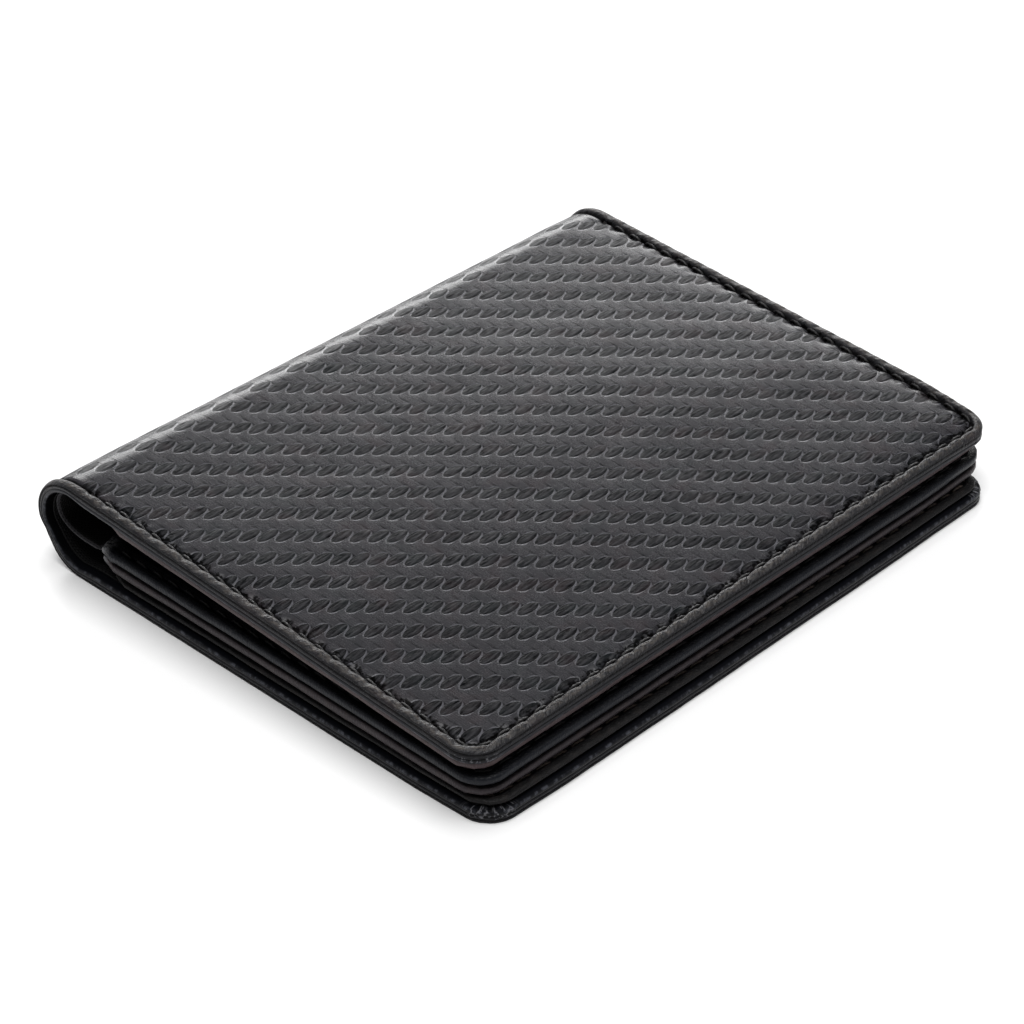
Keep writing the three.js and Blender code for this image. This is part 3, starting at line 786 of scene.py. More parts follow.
def leather_perimeter(x, y, nx, ny):
    """Runs along the near side with u, round the front's fore edge, and back along the far
    side; over the back cover it runs the other way round."""
    x, y, nx, ny = (np.asarray(t, float) for t in (x, y, nx, ny))
    front = x > UL / 2
    cx = np.where(front, UL - CORNER, CORNER)
    ang = np.arctan2(ny, np.where(front, nx, -nx))            # -90 near, 0 fore, 90 far
    run = np.where(front, x - cx, cx - x)                     # past the corner centre
    straight = np.where(front, UL - CORNER, CORNER)
    near, far = ang < -math.pi / 2 + 1e-6, ang > math.pi / 2 - 1e-6
    fore = np.abs(ang) < 1e-6
    # distance from the corner centre's foot on the near side, going round
    s = np.where(near, run, 0.0)
    s = np.where(~near & ~far & (ang < -1e-6), RC * (ang + math.pi / 2), s)
    s = np.where(fore, RC * math.pi / 2 + (y + HALF_H - CORNER), s)
    s = np.where(~near & ~far & (ang > 1e-6), RC * math.pi / 2 + 2 * (HALF_H - CORNER) + RC * ang, s)
    s = np.where(far, RC * math.pi + 2 * (HALF_H - CORNER) - run, s)
    return np.where(front, UL - CORNER + s, CORNER - s)


FRONT_Q0 = U2 + 2.0
FRONT_Q1 = UL - CORNER + RC * math.pi + 2 * (HALF_H - CORNER) + (UL - CORNER - FRONT_Q0)
N_ST = int(round((FRONT_Q1 - FRONT_Q0) / 3.7))
PITCH = (FRONT_Q1 - FRONT_Q0) / N_ST
BACK_Q1 = U1 - 2.0
BACK_Q0 = CORNER - (RC * math.pi + 2 * (HALF_H - CORNER) + (BACK_Q1 - CORNER))
N_SB = int(round((BACK_Q1 - BACK_Q0) / 3.7))
PITCHB = (BACK_Q1 - BACK_Q0) / N_SB


def seam_phase(u, q):
    f = (q - FRONT_Q0) / PITCH
    b = (q - BACK_Q0) / PITCHB
    return np.where(u > UL / 2, f, b)


def stitched(u):
    return sstep(u, U2 + 0.5, U2 + 2.5) + 1 - sstep(u, U1 - 2.5, U1 - 0.5)


def spine_w(u):
    return sstep(u, U1 - 3, U1 + 2) * (1 - sstep(u, U2 - 2, U2 + 3))


def outer_top(u, v, d, q):
    st = stitched(u)
    frontness = sstep(u, U1 + 4, U2 - 2)
    ph = seam_phase(u, q)
    pull = 0.5 + 0.5 * np.cos(TAU * ph)                    # 1 at a needle hole
    hole = gauss(ph - np.round(ph), 0.12)
    plane = -0.36 * (1 - sstep(u, U1 - 4, U1 + 8))
    soft = 0.10 * fbm(u / 26.0, v / 26.0, 5) + 0.035 * fbm(u / 7.0, v / 7.0, 9)
    tw = twill(u, v)
    amp = 0.11 * sstep(-d, 1.9, 3.2) + 0.03 * sstep(d, -1.9, -1.4)
    z = plane + amp * tw + soft * sstep(-d, 2.0, 9.0)
    # the cover is pillowed inside its seam
    z = z + 0.14 * (1 - gauss(np.maximum(-d - 1.95, 0), 4.0)) - 0.06
    z = z + 0.45 * sstep(u, U2 + 2, U2 + 44) * (1 - sstep(u, U2 + 50, UL - 2)) * (1 - (v / 60.0) ** 2)
    # pulled down along the seam, most at the needle holes
    z = z - gauss(d + 1.98, 0.42) * (0.36 + 0.10 * st * pull)
    z = z - st * pull * 0.16 * gauss(d + 2.6, 1.0) - st * hole * 0.30 * gauss(d + 2.30, 0.46)
    # rolled edge outside the seam, laid in short slanting folds
    t = np.clip((d - SEAM_D) / 1.95, 0, 1)
    crown = (0.52 * frontness + 0.34 * (1 - frontness)) * (1 - 0.25 * spine_w(u))
    slant = np.cos(TAU * (ph + 0.34 * (t - 0.45)))
    folds = np.sin(TAU * (q / 1.23 + 0.55 * t) + 2.2 * vnoise(q / 2.9, 0 * q, 25))
    bead = crown * (1 - 0.46 * st * (0.5 + 0.5 * slant) ** 2.2) + 0.05 * folds * st + 0.05 * vnoise(q / 2.3, 0 * q, 21) + 0.04 * vnoise(q / 7.0, 0 * q, 23)
    z = z + bead * np.sin(math.pi * t ** 0.85) ** 0.75
    return z


def kz(u):
    return 1 - 0.24 * spine_w(u)


def corner_w(u, v):
    """1 round the free corners, where the turned leather is pleated."""
    cu = np.minimum(np.abs(u - (UL - CORNER)), np.abs(u - CORNER)) * 0
    a = np.where(u > UL / 2, u - (UL - CORNER), CORNER - u)
    b = np.abs(v) - (HALF_H - CORNER)
    return sstep(a, -1.5, 1.0) * sstep(b, -1.5, 1.0) + cu


def pleat(u, v, q):
    w = corner_w(u, v)
    p = np.sin(q * TAU / 0.95 + 0.9 * vnoise(q / 1.1, 0 * q, 31)) * 0.5 + 0.25 * np.sin(q * TAU / 0.52)
    return w * p


def ring(z, wob=0.0, pl=0.0, seam=0.0):
    def f(x, y, d, q):
        h = z * kz(x)
        if wob:
            h = h + wob * vnoise(q / 9.0, 0 * q + z * 3, 41)
        if pl:
            h = h + pl * pleat(x, y, q)
        if seam:
            ph = seam_phase(x, q)
            h = h + seam * stitched(x) * (0.6 + 0.4 * np.cos(TAU * ph))
        return h
    return f


def outset(d, pl=0.0, wob=0.0):
    def f(q):
        h = np.full_like(q, d)
        if wob:
            h = h + wob * vnoise(q / 11.0, 0 * q, 43) + 0.4 * wob * vnoise(q / 3.1, 0 * q, 44)
        if pl:
            u = PERIM["u"]; v = PERIM["v"]
            h = h + pl * pleat(u, v, q)
        return h
    return f


PERIM = {}
WL = 2.6
xs = np.concatenate([
    axis_points(WL, U1, 0.8),
    axis_points(U1, U2, 0.36, extra=[U1 + ARC_LEN * k / 4 for k in (1, 2, 3)])[1:],
    axis_points(U2, UL - WL, 0.33)[1:],
])
leather = Slab(0, UL, -HALF_H, HALF_H, [CORNER] * 4, WL, 0.33, xs=xs)
PERIM["u"], PERIM["v"] = leather.bx, leather.by
rings = [(d, outer_top) for d in (-2.42, -2.25, -2.1, -1.95, -1.8, -1.65, -1.48, -1.3, -1.12, -0.94, -0.76, -0.58, -0.42, -0.27, -0.14)]
rings += [
    (outset(-0.02, 0.02, 0.04), ring(-0.06)),
    (outset(-0.12, 0.02, 0.04), ring(-0.22)),
    (outset(-0.34, 0.02, 0.04), ring(-0.36)),
    (outset(-0.30, 0.04, 0.05), ring(-0.44, pl=0.03)),
    (outset(-0.05, 0.06, 0.06), ring(-0.60, pl=0.04)),
    (outset(0.00, 0.08, 0.06), ring(-0.85, pl=0.03)),
    (outset(-0.02, 0.09, 0.06), ring(-1.05, pl=0.03)),
    (outset(-0.14, 0.09, 0.06), ring(-1.18, pl=0.03)),
    (outset(-0.01, 0.10, 0.06), ring(-1.30, pl=0.03)),
    (outset(0.03, 0.11, 0.06), ring(-1.58, pl=0.03)),
    (outset(-0.06, 0.10, 0.06), ring(-1.88, pl=0.05)),
    (outset(-0.26, 0.08, 0.04), ring(-2.08, pl=0.07)),
    (-0.62, ring(-2.16, pl=0.12)),
    (-1.10, ring(-2.16, pl=0.15, seam=0.02)),
    (-1.50, ring(-2.14, pl=0.16, seam=0.09)),
    (-1.95, ring(-2.10, pl=0.15, seam=0.20)),
    (-2.40, ring(-2.12, pl=0.13, seam=0.08)),
    (-3.2, ring(-2.12, pl=0.09)),
    (-4.6, ring(-2.08, pl=0.04)),
    (-6.0, ring(-2.04)),
    (-6.8, ring(-2.00)),
    (-7.0, ring(-1.92)),
    (-7.05, ring(-1.75)),
    (-7.0, ring(-1.56)),
    (-5.0, ring(-1.52)),
    (-1.5, ring(-1.52)),
    (-1.22, ring(-1.42)),
    (-1.22, ring(-1.12)),
    (-1.5, ring(-1.02)),
]
lu, lv, lh, ld, lq, lquads = leather.build(outer_top, rings, lambda X, Y: -1.0 * kz(X), leather_perimeter)
lpos = settle(roll_out(lu, lv, lh))
# faces look outwards: u to the right and v away gives a normal pointing inwards on this path
lquads = lquads[:, ::-1]
_c = (lpos[lquads[0]].mean(0), )
lnor = vertex_normals(lpos, lquads)
_i = np.argmin(np.abs(lu - (U2 + 40)) + np.abs(lv) + np.abs(lh) * 5)
if lnor[_i, 2] < 0:
    lquads = lquads[:, ::-1]
    lnor = -lnor
lat = np.stack([lu, lv, ld], -1)
lat[:, 2] = np.where(lh < -0.3 - 0.36, 0.3, ld)            # the side and the hem are plain leather
rim = np.stack([lq, seam_phase(lu, lq) % 1.0, stitched(lu)], -1)
hgt = np.stack([lh / kz(lu), corner_w(lu, lv), 0 * lh], -1)
cuts = [U1 + ARC_LEN * k / 4 for k in (1, 2, 3)]
fu = lu[lquads].mean(1)
names = ["outer_leather_back", "outer_leather_spine_1", "outer_leather_spine_2", "outer_leather_front"]
stands = [("back_shell",), ("spine_shell_1",), ("spine_shell_2",), ("spine_shell_3", "front_shell")]


SEAMS = {}


def gather_seams(uvals, pos):
    """Keep where the cut lines run, so the chords over the folds start and end clear of them."""
    for j in range(5):
        m = np.abs(uvals - (U1 + ARC_LEN * j / 4)) < 1e-6
        if m.any():
            SEAMS.setdefault(j, []).append(pos[m])


def chord(k, h=-0.9):
    """Start and end of a chord over spine fold k (0..3). Every point of the cut at its
    start lies before it and every point of the cut at its end lies behind it."""
    a, b = (settle(roll_out(U1 + ARC_LEN * j / 4, 0.0, h)) for j in (k, k + 1))
    d = (b - a) / np.linalg.norm(b - a)
    lo, hi = 0.0, float((b - a) @ d)
    full = hi
    if k > 0:
        lo = max(float(((p - a) @ d).max()) for p in SEAMS[k]) + 0.02
    if k < 3:
        hi = min(float(((p - a) @ d).min()) for p in SEAMS[k + 1]) - 0.02
    assert hi - lo > 0.35 * full, (k, lo, hi, full)
    return tuple((a + d * lo) * MM), tuple((a + d * hi) * MM)


def cut_and_bend(names, stands, uvals, pos, quads, nor, attrs, mats, face_mat=None, edges=None):
    fuv = uvals[quads].mean(1)
    made = []
    lo = [-1e9] + list(cuts)
    hi = list(cuts) + [1e9]
    for k in range(4):
        sel = (fuv > lo[k]) & (fuv < hi[k])
        q = quads[sel]
        used, inv = np.unique(q, return_inverse=True)
        o = new_mesh(names[k], pos[used], inv.reshape(q.shape).astype(np.int32), {n: a[used] for n, a in attrs.items()}, normals=nor[used], mats=mats, face_mat=None if face_mat is None else face_mat[sel])
        s, e = chord(k)
        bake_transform(o)
        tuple(s)
        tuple(e)
        if stands[k]:
            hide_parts(*stands[k])
        made.append(o)
    return made



# ---------------------------------------------------------------- lining of the covers and the spine
def lining_h(u):
    return -2.28 + 0.50 * spine_w(u)


lxs = np.concatenate([
    axis_points(2.4, U1, 2.4),
    axis_points(U1, U2, 0.6, extra=cuts)[1:],
    axis_points(U2, UL - 2.4, 2.4)[1:],
])
lining = Slab(1.4, UL - 1.4, -58.0, 58.0, [3.6] * 4, 1.0, 1.2, xs=lxs)
nu, nv, nh, nd, nq, nquads = lining.build(
    lambda X, Y, D, Q: lining_h(X) - 0.17 - 0.05 * fbm(X / 9.0, Y / 9.0, 61) * spine_w(X) - 0.03 * gauss(D + 0.6, 0.3),
    [(-0.5, lambda x, y, d, q: lining_h(x) - 0.19), (-0.15, lambda x, y, d, q: lining_h(x) - 0.16), (0.0, lambda x, y, d, q: lining_h(x) - 0.09), (-0.12, lambda x, y, d, q: lining_h(x) - 0.01), (-0.6, lambda x, y, d, q: lining_h(x))],
    lambda X, Y: lining_h(X), None)
npos = settle(roll_out(nu, nv, nh))


def faced(pos, quads, probe, want):
    """Quads turned so that the normal at vertex probe points along want."""
    nor = vertex_normals(pos, quads)
    if nor[probe] @ np.asarray(want, float) < 0:
        quads, nor = quads[:, ::-1], -nor
    return quads, nor


_i = np.argmin(np.abs(nu - (U2 + 40)) + np.abs(nv) + np.abs(nh - lining_h(nu)) * 50)
nquads, nnor = faced(npos, nquads, _i, ft)
gather_seams(lu, lpos)
gather_seams(nu, npos)
cut_and_bend(names, stands, lu, lpos, lquads, lnor, {"lat": lat, "rim": rim, "hgt": hgt}, [M_OUT])
cut_and_bend(
    ["lining_back", "lining_spine_1", "lining_spine_2", "lining_front"],
    [("back_lining",), ("spine_lining_1",), ("spine_lining_2",), ("spine_lining_3", "front_lining")],
    nu, npos, nquads, nnor, {"lat": np.stack([nu, nv, nd], -1)}, [M_LINING])


# ---------------------------------------------------------------- panels and tiers
def per_simple(x0, x1, y0, y1, r, d=-1.9):
    """Perimeter coordinate round a panel, near side first, then fore, then far."""
    rc = r + d

    def f(x, y, nx, ny):
        x, y, nx, ny = (np.asarray(t, float) for t in (x, y, nx, ny))
        ang = np.arctan2(ny, nx)
        near = (ang < -math.pi / 2 + 1e-6) & (ang > -math.pi / 2 - 1e-6)
        far = (ang > math.pi / 2 - 1e-6) & (ang < math.pi / 2 + 1e-6)
        fore = np.abs(ang) < 1e-6
        h = (y1 - y0) - 2 * r
        s = np.where(near, x - x0, 0.0)
        e = x1 - x0 - r
        s = np.where((ang > -math.pi / 2 + 1e-6) & (ang < -1e-6), e + rc * (ang + math.pi / 2), s)
        s = np.where(fore, e + rc * math.pi / 2 + (y - (y0 + r)), s)
        s = np.where((ang > 1e-6) & (ang < math.pi / 2 - 1e-6), e + rc * math.pi / 2 + h + rc * ang, s)
        s = np.where(far, e + rc * math.pi + h + (x1 - r - x), s)
        return s
    return f


def panel(name, box, r, zb, zt, place, flip, mat, body, stands, seam=1.9, pitch=3.7, wave=0.10, sides="nfb", seed=11, step=1.1, want=(0, 0, 1), spine_crumple=0.0, sunk=0.15, puff=0.10):
    """A folded-edge panel. Heights run from zb (hidden face) to zt (face that shows);
    place maps (x, y, height) to space."""
    x0, x1, y0, y1 = box
    w = 2.9
    # seam follows three sides; on the spine side the edge is free
    sl = Slab(x0, x1, y0, y1, [0.9, r, r, 0.9], w, step, xs=axis_points(x0 + w, x1 - w, step), ys=axis_points(y0 + w, y1 - w, 0.6))
    per = per_simple(x0, x1, y0, y1, r)
    length = 2 * (x1 - x0 - r) + (r - 1.9) * math.pi + (y1 - y0 - 2 * r)
    n = max(1, int(round(length / pitch)))
    pt = length / n
    th = zt - zb

    def free(x):
        return 1 - sstep(x, x0 + 0.5, x0 + 3.5)

    def top(X_, Y_, D, Q):
        st = 1 - free(X_)
        pull = 0.5 + 0.5 * np.cos(TAU * Q / pt)
        z = zt - sunk * sstep(-D, 2.2, 4.5) + wave * fbm(X_ / 15.0, Y_ / 15.0, seed) * sstep(-D, 0.0, 3.0)
        z = z - st * gauss(D + seam, 0.40) * (0.16 + 0.12 * pull)
        z = z + puff * np.sin(math.pi * np.clip((D + seam) / seam, 0, 1)) * (1 - 0.35 * st * pull)
        return z

    def side(f, out=0.0):
        def g(x, y, d, q):
            z = zb + th * f + 0.06 * th * vnoise(q / 8.0, 0 * q + f * 2, seed + 3) + 0.10 * wave * vnoise(q / 2.5, 0 * q, seed + 4)
            if spine_crumple:
                z = z + spine_crumple * (1 + 2.2 * sstep(-y, 54.0, 57.5)) * free(x) * vnoise(y / 1.6, x * 0 + f * 3, seed + 8)
            return z
        return g

    def out(d0, amp=0.05):
        def g(q):
            c = corner_pleat(sl, r)
            h = d0 + amp * vnoise(q / 9.0, 0 * q, seed + 5) + 0.5 * amp * vnoise(q / 2.6, 0 * q, seed + 6)
            h = h - 0.09 * c * (0.5 + 0.5 * np.sin(q * TAU / 0.85 + 1.3 * vnoise(q, 0 * q, seed + 7)))
            return h
        return g

    rings = [(d, top) for d in (-2.6, -2.3, -2.1, -1.9, -1.7, -1.45, -1.15, -0.85, -0.6, -0.4)]
    rings += [(out(-0.20), side(0.965)), (out(-0.06), side(0.88)), (out(0.02), side(0.72)), (out(0.05), side(0.5)), (out(0.02), side(0.28)), (out(-0.06), side(0.12)), (out(-0.22), side(0.03)), (-0.5, side(0.0)), (-1.5, zb)]
    U, V, H, D, Q, F = sl.build(top, rings, lambda X_, Y_: zb, per)
    pos = settle(place(U, V, H))
    i = int(np.argmin(np.abs(U - (x0 + x1) / 2) + np.abs(V - (y0 + y1) / 2) + (H < (zb + zt) / 2 - 0.3 * th) * 1e3))
    F, nor = faced(pos, F, i, want)
    o = new_mesh(name, pos, F, {"lat": np.stack([U, V, D], -1)}, mat=mat)
    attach(o, body)
    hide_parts(*stands)
    return o, top


def corner_pleat(sl, r):
    both = np.abs(sl.bnx * sl.bny) * 2
    return np.clip(both * 1.3, 0, 1)


def tier(name, box, r4, zt, th, place, mat, body, stands, want, lip=1, seed=5):
    """A thin card tier with a folded mouth on its +y edge."""
    x0, x1, y0, y1 = box
    sl = Slab(x0, x1, y0, y1, r4, 0.8, 1.3, ys=axis_points(y0 + 0.8, y1 - 0.8, 0.8))

    def top(X_, Y_, D, Q):
        e = y1 - Y_
        return zt + 0.16 * gauss(e - 0.6, 0.8) - 0.07 * gauss(e - 2.2, 0.22) + 0.10 * fbm(X_ / 12.0, Y_ / 12.0, seed) - 0.05 * gauss(D, 0.3)

    rings = [(d, top) for d in (-0.6, -0.35)]
    rings += [(-0.12, lambda x, y, d, q: top(x, y, d, q) - 0.05), (0.0, lambda x, y, d, q: top(x, y, d, q) - th * 0.4), (-0.02, lambda x, y, d, q: top(x, y, d, q) - th * 0.8), (-0.3, zt - th)]
    U, V, H, D, Q, F = sl.build(top, rings, lambda X_, Y_: zt - th, None)
    pos = settle(place(U, V, H))
    i = int(np.argmin(np.abs(U - (x0 + x1) / 2) + np.abs(V - (y0 + y1) / 2) + (H < zt - th / 2) * 1e3))
    F, nor = faced(pos, F, i, want)
    o = new_mesh(name, pos, F, {"lat": np.stack([U, V, D], -1)}, mat=mat)
    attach(o, body)
    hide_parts(*stands)
    return o


def seam_thread(name, place, outline, sides, height, body, stands, pitch=3.7, ends=(1.0, 1.0), length=2.55, r=0.24, rise=0.30, parts=(), slant=0.12, seed=3, mat=None):
    """Thread rows; each part is (place, outline, sides, height, d, ends)."""
    VV, FF, LL, base = [], [], [], 0
    for k, (pl, ol, sd, hh, d, en) in enumerate([(place, outline, sides, height, SEAM_D, ends), *parts]):
        x0, x1, y0, y1, r4 = ol
        P, N, s = outline_path(x0, x1, y0, y1, r4, d, sd)
        tracks = {}

        def put(x, y, z, pl=pl):
            return settle(pl(x, y, z))
        V, F = stitches(P, N, s, put, pitch, length, r, hh - rise, rise, slant=slant, ends=en, seed=seed + k)
        steps, ns = 12, 10
        cnt = len(V) // (steps * ns)
        along = np.tile(np.repeat(np.linspace(0, length, steps), ns), cnt)
        rnd = np.tile(np.tile(np.linspace(0, 1, ns, endpoint=False), steps), cnt)
        LL.append(np.stack([along, rnd * 2.4, np.repeat(np.arange(cnt), steps * ns) * 0.37], -1))
        VV.append(V); FF.append(F + base); base += len(V)
    V, F, L = np.concatenate(VV), np.concatenate(FF), np.concatenate(LL)
    o = new_mesh(name, V, F, {"lat": L}, mat=mat or M_THREAD)
    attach(o, body)
    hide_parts(*stands)
    return o


inner_front = lambda x, y, h: on_front(x, y, -np.asarray(h, float))
down = -ft
# front cover's inner side
panel("pocket_panel_front", (5.2, 86.8, -58.7, 58.7), 4.3, 2.55, 3.80, inner_front, True, M_PANEL, "front", ["front_pocket_panel"], seed=11, want=down, spine_crumple=0.12, sunk=0.45)
tier("card_tier_front_1", (6.4, 84.6, 18, 36), [0.9] * 4, 3.62, 0.30, inner_front, M_TIER, "front", ["front_card_tier_1"], down, seed=71)
tier("card_tier_front_2", (6.4, 84.6, 1, 22), [0.9] * 4, 3.92, 0.30, inner_front, M_TIER, "front", ["front_card_tier_2"], down, seed=72)
tier("card_tier_front_3", (6.4, 84.6, -56.4, 5), [0.9, 2.6, 0.9, 0.9], 4.20, 0.34, inner_front, M_TIER, "front", ["front_card_tier_3"], down, seed=73)
# back cover's inner side
panel("pocket_panel_back", (5.2, BACK_LEN - 0.9, -58.6, 58.6), 4.2, 2.50, 3.15, on_back, False, M_PANELB, "back", ["back_pocket_panel"], seed=12, want=(0, 0, 1), sunk=0.1, puff=0.16)
# leaf's lower skin and its tiers
inner_leaf = lambda x, y, h: on_leaf(x, y, -np.asarray(h, float))
panel("leaf_lower_skin", (0.0, LEAF_LEN, -LEAF_HH, LEAF_HH), 4.6, 1.95, 3.30, inner_leaf, True, M_LEAFB, "leaf", ["leaf_lower_panel"], seed=13, want=-lt, spine_crumple=0.25, sunk=0.3, puff=0.14)
tier("leaf_tier_1", (1.9, LEAF_LEN - 1.9, 8, 30), [0.9] * 4, 3.20, 0.26, inner_leaf, M_TIER, "leaf", ["leaf_card_tier_1"], -lt, seed=74)
tier("leaf_tier_2", (1.9, LEAF_LEN - 1.9, -56.6, 12), [0.9, 2.6, 0.9, 0.9], 3.46, 0.30, inner_leaf, M_TIER, "leaf", ["leaf_card_tier_2"], -lt, seed=75)


def window_frame():
    """The leaf's upper skin: a folded frame round a window."""
    w = 2.9
    X0, X1, Y0, Y1 = 0.0, LEAF_LEN, -LEAF_HH, LEAF_HH
    wx0, wx1, wy0, wy1 = 7.0, LEAF_LEN - 7.0, -27.0, 21.0
    nx_, ny_ = 110, 170
    rr = 4.6
    outer = Slab(X0, X1, Y0, Y1, [0.9, rr, rr, 0.9], w, 1, xs=np.linspace(X0 + w, X1 - w, nx_), ys=np.linspace(Y0 + w, Y1 - w, ny_))
    win = Slab(wx0, wx1, wy0, wy1, [3.0] * 4, 0.0, 1, xs=np.linspace(wx0, wx1, nx_), ys=np.linspace(wy0, wy1, ny_))
    n = len(outer.loop)
    per = per_simple(X0, X1, Y0, Y1, rr)
    q = per(outer.bx, outer.by, outer.bnx, outer.bny)
    length = 2 * (X1 - X0 - rr) + (rr - 1.9) * math.pi + (Y1 - Y0 - 2 * rr)
    pt = length / int(round(length / 3.7))
    pull = 0.5 + 0.5 * np.cos(TAU * q / pt)
    cp = corner_pleat(outer, rr)
    pl = 0.09 * cp * (0.5 + 0.5 * np.sin(q * TAU / 0.85))
    wv = lambda s, a: a * vnoise(q / 8.0, 0 * q, s) + 0.4 * a * vnoise(q / 2.6, 0 * q, s + 1)
    free = 1 - sstep(outer.bx, X0 + w - 0.2, X0 + w + 2)
    T, B = 0.0, -1.30
    L = []

    def o_(d, z):
        L.append(np.stack([outer.bx + outer.bnx * (d + w), outer.by + outer.bny * (d + w), np.broadcast_to(z, q.shape), np.broadcast_to(np.minimum(d, 0.3), q.shape)], -1))

    def w_(d, z):
        L.append(np.stack([win.bx + win.bnx * d, win.by + win.bny * d, np.broadcast_to(z, q.shape), np.full(n, -1.2 - abs(d))], -1))

    cr = 0.25 * (1 + 2.0 * sstep(-outer.by, 54.0, 57.5)) * free * vnoise(outer.by / 1.5, 0 * q, 55)
    o_(-0.5, B - 0.02); o_(-0.22, B + 0.04 + cr); o_(wv(50, 0.05) - 0.06 - pl, B + 0.16 + cr); o_(wv(50, 0.05) + 0.03 - pl, B + 0.38 + cr)
    o_(wv(50, 0.05) + 0.05 - pl, -0.62 + cr); o_(wv(50, 0.05) + 0.01 - pl, -0.34 + cr); o_(wv(50, 0.05) - 0.08 - pl, -0.14 + cr); o_(-0.24, -0.03 + cr)
    for d in (-0.45, -0.7, -0.95, -1.2, -1.45, -1.7, -1.9, -2.1, -2.35, -2.6):
        zz = T + 0.13 * np.sin(math.pi * np.clip((d + 1.9) / 1.9, 0, 1)) * (1 - 0.35 * pull) - gauss(d + 1.9, 0.35) * (0.14 + 0.12 * pull) * (1 - free)
        o_(d, zz)
    a = np.stack([outer.bx, outer.by], -1)
    b = np.stack([win.bx + win.bnx * 2.0, win.by + win.bny * 2.0], -1)
    for t in np.linspace(0, 1, 26):
        p = a * (1 - t) + b * t
        z = T - 0.12 * np.sin(math.pi * min(1, t * 1.0)) + 0.10 * fbm(p[:, 0] / 14.0, p[:, 1] / 14.0, 57)
        L.append(np.stack([p[:, 0], p[:, 1], z, np.full(n, -4.0)], -1))
    for d, z in ((1.6, 0.0), (1.2, -0.06), (1.05, -0.08), (0.85, -0.04), (0.5, 0.03), (0.25, 0.02), (0.06, -0.08), (0.0, -0.25), (0.0, -0.55), (0.1, -0.80), (0.5, -0.95), (2.0, -1.0)):
        w_(d, z)
    b2 = np.stack([win.bx + win.bnx * 2.0, win.by + win.bny * 2.0], -1)
    a2 = np.stack([outer.bx + outer.bnx * (w - 1.2), outer.by + outer.bny * (w - 1.2)], -1)
    for t in (0.3, 0.65, 1.0):
        p = b2 * (1 - t) + a2 * t
        L.append(np.stack([p[:, 0], p[:, 1], np.full(n, -1.0 + (B + 1.0) * t), np.full(n, -4.0)], -1))
    P = np.concatenate(L)
    idx = np.arange(len(P)).reshape(len(L), n)
    F = []
    for k in range(len(L)):
        a_, b_ = idx[k], idx[(k + 1) % len(L)]
        F.append(np.stack([a_, b_, np.roll(b_, -1), np.roll(a_, -1)], -1))
    F = np.concatenate(F)
    pos = settle(on_leaf(P[:, 0], P[:, 1], P[:, 2]))
    i = idx[len(L) // 2 - 6, n // 8]
    F, nor = faced(pos, F, i, lt)
    o = new_mesh("leaf_upper_skin", pos, F, {"lat": np.stack([P[:, 0], P[:, 1], P[:, 3]], -1)}, mat=M_LEAF)
    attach(o, "leaf")
    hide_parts("leaf_upper_panel")


window_frame()


def film():
    sl = Slab(4.2, LEAF_LEN - 4.2, -29.8, 23.8, [1.2] * 4, 0.6, 1.6)
    bow = lambda X_, Y_: 0.05 * fbm(X_ / 16.0, Y_ / 16.0, 81)
    U, V, H, D, Q, F = sl.build(lambda X_, Y_, D, Q: -1.44 + bow(X_, Y_), [(-0.2, -1.45), (0.0, -1.50), (-0.2, -1.56)], lambda X_, Y_: -1.57 + bow(X_, Y_), None)
    pos = settle(on_leaf(U, V, H))
    i = int(np.argmin(np.abs(U - 40) + np.abs(V) + (H < -1.5) * 1e3))
    F, nor = faced(pos, F, i, lt)
    o = new_mesh("leaf_window", pos, F, {"lat": np.stack([U, V, D], -1)}, mat=M_FILM)
    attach(o, "leaf")
    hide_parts("leaf_window_film")


film()


def board(name, box, r4, z0, z1, place, body, stands, seed):
    """A die-cut card with slightly crushed edges."""
    x0, x1, y0, y1 = box
    sl = Slab(x0, x1, y0, y1, r4, 0.8, 1.6)
    wob = lambda q, s: 0.06 * vnoise(q / 3.0, 0 * q, s)
    rings = [(-0.45, z1), (lambda q: -0.16 + wob(q, seed), z1 - 0.04), (lambda q: -0.04 + wob(q, seed), (z0 + z1) / 2), (lambda q: -0.16 + wob(q, seed), z0 + 0.04), (-0.45, z0)]
    U, V, H, D, Q, F = sl.build(lambda X_, Y_, D, Q: z1 + 0.0 * X_, rings, lambda X_, Y_: z0, lambda x, y, nx, ny: np.asarray(x) + np.asarray(y))
    pos = settle(place(U, V, H))
    i = int(np.argmin(np.abs(U - (x0 + x1) / 2) + np.abs(V - (y0 + y1) / 2) + (H < (z0 + z1) / 2) * 1e3))
    far = place(np.array([0.0, 0.0]), np.array([0.0, 0.0]), np.array([0.0, 1.0]))
    F, nor = faced(pos, F, i, far[1] - far[0])
    o = new_mesh(name, pos, F, {"lat": np.stack([U, V, D], -1)}, mat=M_BOARD)
    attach(o, body)
    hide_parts(*stands)
    return o


def node_rect(n, org, ax):
    """Local extent of a drawn node along ax and Y."""
    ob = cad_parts[n]
    co = np.array([ob.matrix_world @ v.co for v in ob.data.vertices]) / MM
    t = (co - org) @ ax
    return t.min(), t.max(), co[:, 1].min(), co[:, 1].max()


board("stiffener_front", node_rect("front_stiffener", FP, fx), [2.0, 4.0, 4.0, 2.0], 1.06, 1.44, inner_front, "front", ["front_stiffener"], 91)
board("stiffener_back", node_rect("back_stiffener", np.array([SPX, 0, 0]), np.array([1.0, 0, 0])), [2.0, 4.0, 4.0, 2.0], 1.06, 1.44, on_back, "back", ["back_stiffener"], 92)
board("stiffener_leaf", node_rect("leaf_core", LP, lx), [1.0, 3.6, 3.6, 1.0], 1.60, 1.92, inner_leaf, "leaf", ["leaf_core"], 93)


